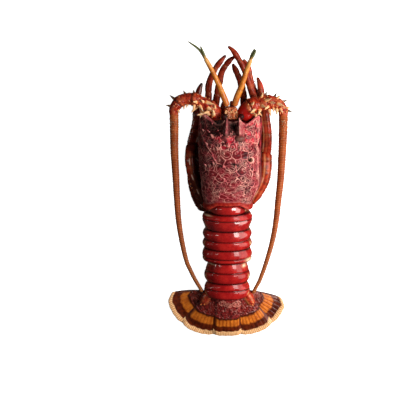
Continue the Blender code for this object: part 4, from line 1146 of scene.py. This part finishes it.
legs = {
    "joints": (0.13, 0.46, 0.58, 0.84), "sides": 28, "rows": 150,
    # The stout legs: how much wider they are, and on which side of them a painted highlight streak runs,
    # which on the fourth and the fifth right leg also carries a pale line
    "wider": {"right_3": 1.2, "right_4": 1.36, "right_5": 1.3,
              "left_3": 1.5, "left_4": 1.3, "left_5": 1.85},
    "lit": {"right_3": 0.05, "right_4": -0.43, "right_5": -0.62,
            "left_3": 0.43, "left_4": 0.25, "left_5": 0.25},
    "turnedOver": ("right_5", "left_4"), "turnedFrom": 0.41, "edgeSpines": 11,
    "right_1": (4.1, (
        (11.8, 38.5, 6.2), (15.4, 42.0, 6.2), (16.8, 54.0, 6.6), (16.2, 66.5, 7.5), (13.4, 83.0, 8.5),
        (9.4, 93.2, 9.5), (4.8, 103.2, 10.0),
    )),
    "right_2": (4.0, (
        (12.8, 28.0, 6.2), (19.5, 30.5, 6.3), (24.4, 44.0, 7.6), (26.4, 59.0, 13.6), (25.4, 70.9, 17.2),
        (21.4, 83.5, 19.2), (17.4, 95.8, 20.8), (11.4, 107.1, 22.0), (5.4, 116.4, 23.0), (0.0, 121.4, 23.5),
    )),
    "right_3": (3.8, (
        (14.2, 14.5, 6.2), (22.0, 14.0, 6.2), (29.4, 17.0, 6.2), (32.8, 26.0, 6.3), (33.8, 38.0, 6.3),
        (33.8, 49.0, 6.3), (32.2, 63.5, 6.4), (28.0, 72.0, 7.6), (23.4, 85.3, 10.6), (20.4, 99.7, 13.0),
        (15.4, 108.0, 14.0),
    )),
    "right_4": (4.3, (
        (15.8, 3.0, 6.2), (25.0, 3.0, 6.3), (33.0, 4.5, 7.0), (37.2, 11.0, 9.8), (38.8, 22.0, 12.6),
        (38.9, 34.0, 14.4), (37.8, 44.0, 14.8), (36.2, 56.0, 15.2), (35.0, 64.0, 14.9), (34.0, 71.0, 14.2),
        (32.2, 81.5, 13.6), (29.4, 90.0, 13.0),
    )),
    "right_5": (4.8, (
        (17.4, -8.0, 6.2), (25.0, -9.0, 6.0), (32.6, -3.6, 6.0), (37.6, 6.0, 8.6), (38.6, 11.0, 13.4),
        (38.6, -1.0, 17.0), (36.6, -13.0, 16.4), (32.6, -22.0, 15.0), (28.4, -30.0, 13.8),
        (25.0, -38.2, 12.8),
    )),
    "left_1": (3.9, (
        (-11.8, 38.5, 6.2), (-15.0, 42.0, 6.2), (-13.4, 54.0, 7.4), (-10.8, 69.6, 10.0), (-8.6, 82.5, 12.0),
        (-5.6, 95.8, 13.5), (1.4, 106.1, 14.6), (7.2, 110.8, 15.0),
    )),
    "left_2": (3.9, (
        (-12.8, 27.0, 6.2), (-19.0, 27.0, 6.3), (-24.4, 32.0, 6.5), (-25.2, 42.0, 7.2), (-22.6, 55.0, 10.4),
        (-19.4, 67.3, 13.2), (-18.8, 82.8, 15.0), (-13.8, 96.1, 16.4), (-7.6, 105.4, 17.2),
        (-1.8, 112.2, 17.6),
    )),
    "left_3": (4.2, (
        (-14.2, 15.5, 6.2), (-22.0, 15.0, 6.3), (-30.2, 17.0, 6.8), (-34.6, 22.0, 8.8), (-32.8, 32.0, 11.0),
        (-30.4, 42.0, 12.8), (-29.6, 52.0, 13.4), (-30.8, 62.0, 13.6), (-28.8, 75.7, 14.2),
        (-25.6, 84.3, 14.4),
    )),
    "left_4": (4.4, (
        (-15.8, 3.5, 6.2), (-24.0, 3.0, 6.4), (-32.0, 7.0, 7.0), (-36.0, 15.5, 9.2), (-36.6, 20.0, 13.6),
        (-37.7, 8.0, 17.2), (-36.2, -4.0, 16.8), (-33.8, -12.0, 15.8), (-31.0, -20.0, 14.6),
        (-27.4, -29.0, 13.6), (-23.4, -37.6, 12.8),
    )),
    "left_5": (4.0, (
        (-17.4, -8.0, 6.2), (-24.0, -7.0, 6.2), (-30.6, -6.0, 6.2), (-33.4, -12.0, 6.0),
        (-31.4, -25.0, 5.2), (-26.8, -37.0, 4.6), (-20.0, -47.0, 4.2),
    )),
}


def makeLeg(name):
    base, route = legs[name]
    wide = legs["wider"].get(name, 1.0)
    stout = wide > 1.0
    onLeft = name.startswith("left")

    def radii(share):
        taper = between(base, base * 0.82, share)
        waist = 1.0 - (0.05 if stout else 0.13) * atJoints(share, legs["joints"], 0.012)
        hip = 1.0 + 0.32 * (1.0 - smoothStep(share, 0.1, 0.26)) * stout
        return taper * waist * hip * between(1.0, 0.5, smoothStep(share, 0.88, 1.0) ** 1.3)

    def form(turn, along):
        waist = atJoints(along, legs["joints"], 0.006)
        collar = atJoints(along, legs["joints"], 0.008, 0.018)
        # Where a leg is folded back over itself, its upper side is the other one
        turnedOver = (name in legs["turnedOver"]) & (along > legs["turnedFrom"])
        upper = np.where(turnedOver, -np.sin(turn), np.sin(turn)) > 0.0
        ridge = hump(np.cos(turn), 0.35, 0.12) * upper
        fold = 0.86 if name[-1] == "5" or name == "left_4" else 0.62
        span = between(wide, 0.88, smoothStep(along, fold, fold + 0.16))
        grow = np.hypot(np.cos(turn) * span, np.sin(turn) * (0.92 if stout else 1.0))
        pale = 0.2 * waist + 0.16 * collar + (0.3 if stout else 0.1) * ridge
        dark = 0.5 * smoothStep(along, 0.95, 0.995)
        glossAndPaintedHighlight = 0.0
        if stout:
            # Long painted highlight streaks, weak on the right legs, with dark strips between them on the
            # right legs and painted shadow on the left legs, deeper towards the tip
            lit = legs["lit"][name]
            paintedStreakHighlight = hump(np.cos(turn), lit, 0.1) * smoothStep(np.sin(along * 38.0 + 1.0), 0.3, 0.6)
            paintedStreakHighlight = paintedStreakHighlight * upper
            strip = hump(np.cos(turn), -0.22, 0.14) + hump(np.cos(turn), 0.62, 0.1)
            glossAndPaintedHighlight = paintedStreakHighlight * (1.0 if onLeft else 0.2)
            if name in ("right_4", "right_5"):
                pale = pale + 0.75 * hump(np.cos(turn), lit, 0.12) * upper
            paintedLegShadow = between(0.4, 0.8, smoothStep(along, 0.55, 0.75)) if onLeft else 0.5 * strip
            dark = dark + paintedLegShadow * (1.0 - paintedStreakHighlight)
        coat = (1.0 if onLeft else 0.1) * stout
        values = {"pale": pale, "dark": dark, "glossAndPaintedHighlight": glossAndPaintedHighlight, "calm": 1.0 * stout, "burnt": coat}
        return grow * (1.0 + 0.03 * ridge), values

    shape = newShape()
    addTube(shape, route, legs["sides"], legs["rows"], form, radii)
    if stout:
        # Short spines along the outer edge of the thick part
        draw = np.random.default_rng(60 + int(name[-1]))
        thick = [(*spot, 0.0) for spot in route]
        out = Vector((-1.0 if onLeft else 1.0, 0.0, 0.35))
        for share in np.linspace(0.3, 0.78, legs["edgeSpines"]):
            here, _, ahead, _ = skinSpot(thick, share + draw.uniform(-0.015, 0.015), 0.0)
            outward = (out - ahead * out.dot(ahead)).normalized()
            root = here + outward * float(radii(share)) * wide * 0.92
            length = draw.uniform(0.9, 1.8)
            addSpine(shape, root, outward + ahead * 0.8, length, 0.6, sides=7, rows=4, pale=0.7)
    finishPiece(f"leg_{name}_jointed", shape, paintLeg, [f"leg_{name}"])


# Head front, eyes, mouth legs and breast plate

head = {
    "centreX": 2.8, "centreZ": 29.5,
    "stations": ((50.3, 6.2, 8.0), (52.0, 6.5, 8.4), (56.0, 6.4, 8.2), (59.5, 6.2, 7.4), (61.4, 5.2, 6.0),
                 (62.0, 4.2, 4.8)),
    "smallSpines": 26, "seed": 23, "eyeSpread": 8.2, "eyeRadius": 3.1, "stalkRadius": 1.9,
    "mouthLeg": ((4.2, 45.2, 5.6, 2.9), (4.6, 52.0, 6.2, 3.2),
                 (4.6, 60.0, 8.6, 2.8), (3.6, 66.0, 11.6, 1.4)),
    # Places along the breast plate and its half width there
    "plate": ((44.6, 5.2), (43.0, 6.4), (26.0, 9.6), (8.0, 12.4),
              (-12.0, 13.4), (-24.0, 12.6), (-28.0, 11.0)),
}


def makeHeadFront():
    ys, widths, heights = (np.array(column) for column in zip(*head["stations"]))
    rows = 48

    def place(across, along):
        row = np.rint(along * rows)
        run = unit((row - 1.0) / (rows - 2.0))
        y = between(ys[0], ys[-1], run)
        shrink = closedEnds(row, rows)
        turn = fullTurn * across
        bumps = 0.5 * np.clip(ripple(turn * 8.0, y, 3.0, 51), 0.0, 1.5)
        split = 1.0 - 0.16 * hump(np.cos(turn), 0.0, 0.14) * (np.sin(turn) > 0)
        halfWidth = (np.interp(y, ys, widths) + bumps) * shrink
        halfHeight = (np.interp(y, ys, heights) + bumps) * shrink * split
        x = head["centreX"] + halfWidth * signedPower(np.cos(turn), 0.8)
        z = head["centreZ"] + halfHeight * signedPower(np.sin(turn), 0.8)
        return (x, y, z), {"pale": 0.3 + 0.6 * unit(bumps), "dark": 1.0 - split, "calm": 1.0}

    shape = newShape()
    addSurface(shape, 60, rows, place)
    for x in (-2.6, 2.9, 8.2):
        addSpine(shape, (x, 57.0, 36.4), (0.0, 0.5, 0.85), 3.0, 1.1)
    draw = np.random.default_rng(head["seed"])
    for _ in range(head["smallSpines"]):
        x, y = draw.uniform(-3.0, 8.6), draw.uniform(51.5, 61.0)
        off = x - head["centreX"]
        heading = (0.1 * off, 0.6, 0.8)
        root = (x, y, 37.0 - 0.12 * abs(off))
        addSpine(shape, root, heading, draw.uniform(0.9, 2.0), 0.6, sides=6, rows=4)
    finishPiece("head_front_shell", shape, paintBase, ["head_front"])


def makeEye(name, side):
    x = shell["headShiftX"] + side * head["eyeSpread"]
    centre = Vector((x, 53.0, 40.4))
    shape = newShape()
    bmesh.ops.create_uvsphere(shape, u_segments=32, v_segments=20, radius=head["eyeRadius"] * mm,
                              matrix=Matrix.Translation(centre * mm))
    start = Vector((between(shell["headShiftX"], x, 0.8), 50.8, 39.4))
    end = start + (centre - start) * 0.9
    stalk = [(*(start + (end - start) * share), between(0.5, 1.0, share) * head["stalkRadius"])
             for share in (0.0, 0.5, 1.0)]
    addTube(shape, stalk, 16, 10, roundStart=False)
    finishPiece(f"eye_{name}_stalked", shape, paintEye, [f"eye_{name}"])


def makeMouthLeg(name, side):
    route = [(side * x, y, z, radius) for x, y, z, radius in head["mouthLeg"]]

    def form(turn, along):
        waist = atJoints(along, (0.36, 0.7), 0.02)
        return 1.0 - 0.16 * waist, {"pale": 0.6 * waist}

    shape = newShape()
    addTube(shape, route, 20, 60, form)
    finishPiece(f"mouth_leg_{name}_jointed", shape, paintLeg, [f"mouth_leg_{name}"])


def makeBreastPlate():
    ys, widths = (np.array(column) for column in zip(*head["plate"]))
    top = shell["bottomZ"] - 0.3
    rows = 90

    def place(across, along):
        row = np.rint(along * rows)
        run = unit((row - 1.0) / (rows - 2.0))
        y = between(ys[0], ys[-1], run)
        halfWidth = np.interp(-y, -ys, widths)
        knots = np.linspace(0.0, 1.0, 9)
        x = halfWidth * np.interp(across, knots, (-1, -1, -0.88, -0.4, 0.0, 0.4, 0.88, 1, 1))
        z = np.interp(across, knots, (top, 1.8, 0.0, 0.0, 0.0, 0.0, 0.0, 1.8, top))
        lines = hump(((y + 28.0) / 14.0) % 1.0, 0.5, 0.06) * (z < 1.0)
        z = z + 0.5 * lines + 0.4 * hump(x, 0.0, 0.5) * (z < 1.0)
        shrink = closedEnds(row, rows)
        return (x * shrink, y, top + (z - top) * shrink), {"dark": 0.7 * lines, "pale": 0.3}

    shape = newShape()
    addSurface(shape, 80, rows, place)
    closeHoles(shape)
    finishPiece("breast_plate_shell", shape, paintBelly, ["breast_plate"])


print("carapace")
makeShell()
print("tail")
makeTail()
print("fan")
makeFan()
print("feelers")
for sideName in ("left", "right"):
    makeAntennaBase(sideName)
    makeWhip(sideName)
    makeAntennule(sideName)
print("legs")
for sideName in ("left", "right"):
    for number in range(1, 6):
        makeLeg(f"{sideName}_{number}")
print("head and underside")
makeHeadFront()
for sideName, sideSign in (("left", -1), ("right", 1)):
    makeEye(sideName, sideSign)
    makeMouthLeg(sideName, sideSign)
makeBreastPlate()


# Floor, light and camera

studio = {
    "cameraTilt": 8.0, "cameraDistance": 2.0, "viewWidth": 0.4, "sensor": 36.0,
    "aim": (-27.6, -32.53, 20.0), "subject": (0.0, -20.0, 22.0), "fillStrength": 0.035,
    "floorReach": 3.0,
}
# Name, angle from upright towards the right, lean to the head, distance, size along and across the body,
# watts and colour
lamps = (
    ("softbox", 38.0, 0.06, 0.9, (0.5, 0.4), 10.0, (1.0, 0.97, 0.93)),
    ("sidePanel", 71.0, 0.1, 1.3, (1.8, 0.95), 22.0, (1.0, 0.95, 0.88)),
    ("rimLamp", -80.0, 0.0, 0.8, (0.1, 0.05), 0.3, (1.0, 0.93, 0.86)),
    ("stripLamp", -46.0, 0.0, 0.9, (0.025, 0.3), 0.4, (1.0, 0.95, 0.9)),
)


def makeLight(name, angle, ahead, distance, size, power, colour):
    light = bpy.data.lights.new(name, "AREA")
    light.shape = "RECTANGLE"
    light.size, light.size_y = size
    light.energy = power
    light.color = colour
    lamp = addObject(name, light)
    subject = Vector(studio["subject"]) * mm
    turn = math.radians(angle)
    heading = Vector((math.sin(turn), ahead, math.cos(turn))).normalized()
    lamp.location = subject + heading * distance
    lamp.rotation_euler = heading.to_track_quat("Z", "Y").to_euler()


def makeFloor():
    finish = Finish("paleFloor", 0.9, specular=0.0)
    finish.put("Base Color", (0.8, 0.8, 0.8))
    finish.put("Emission Color", (1.0, 1.0, 1.0))
    finish.put("Emission Strength", 1.0)
    shape = newShape()
    bmesh.ops.create_grid(shape, x_segments=1, y_segments=1, size=studio["floorReach"])
    floor = addMesh("floor", shape, finish.material)
    floor.visible_diffuse = False
    floor.visible_glossy = False


def makeCamera():
    tilt = math.radians(studio["cameraTilt"])
    lens = bpy.data.cameras.new("camera")
    lens.sensor_width = studio["sensor"]
    lens.lens = studio["sensor"] * studio["cameraDistance"] / studio["viewWidth"]
    camera = addObject("camera", lens)
    away = Vector((0.0, math.sin(tilt), math.cos(tilt)))
    camera.location = Vector(studio["aim"]) * mm + away * studio["cameraDistance"]
    camera.rotation_euler = (-tilt, 0.0, 0.0)
    bpy.context.scene.camera = camera


def makeStudio():
    makeFloor()
    makeCamera()
    for lamp in lamps:
        makeLight(*lamp)
    world = bpy.data.worlds.new("studio")
    world.use_nodes = True
    background = world.node_tree.nodes["Background"]
    background.inputs["Color"].default_value = (1.0, 0.98, 0.96, 1.0)
    background.inputs["Strength"].default_value = studio["fillStrength"]
    bpy.context.scene.world = world
    bpy.context.scene.view_settings.view_transform = "Standard"


print("studio")
makeStudio()
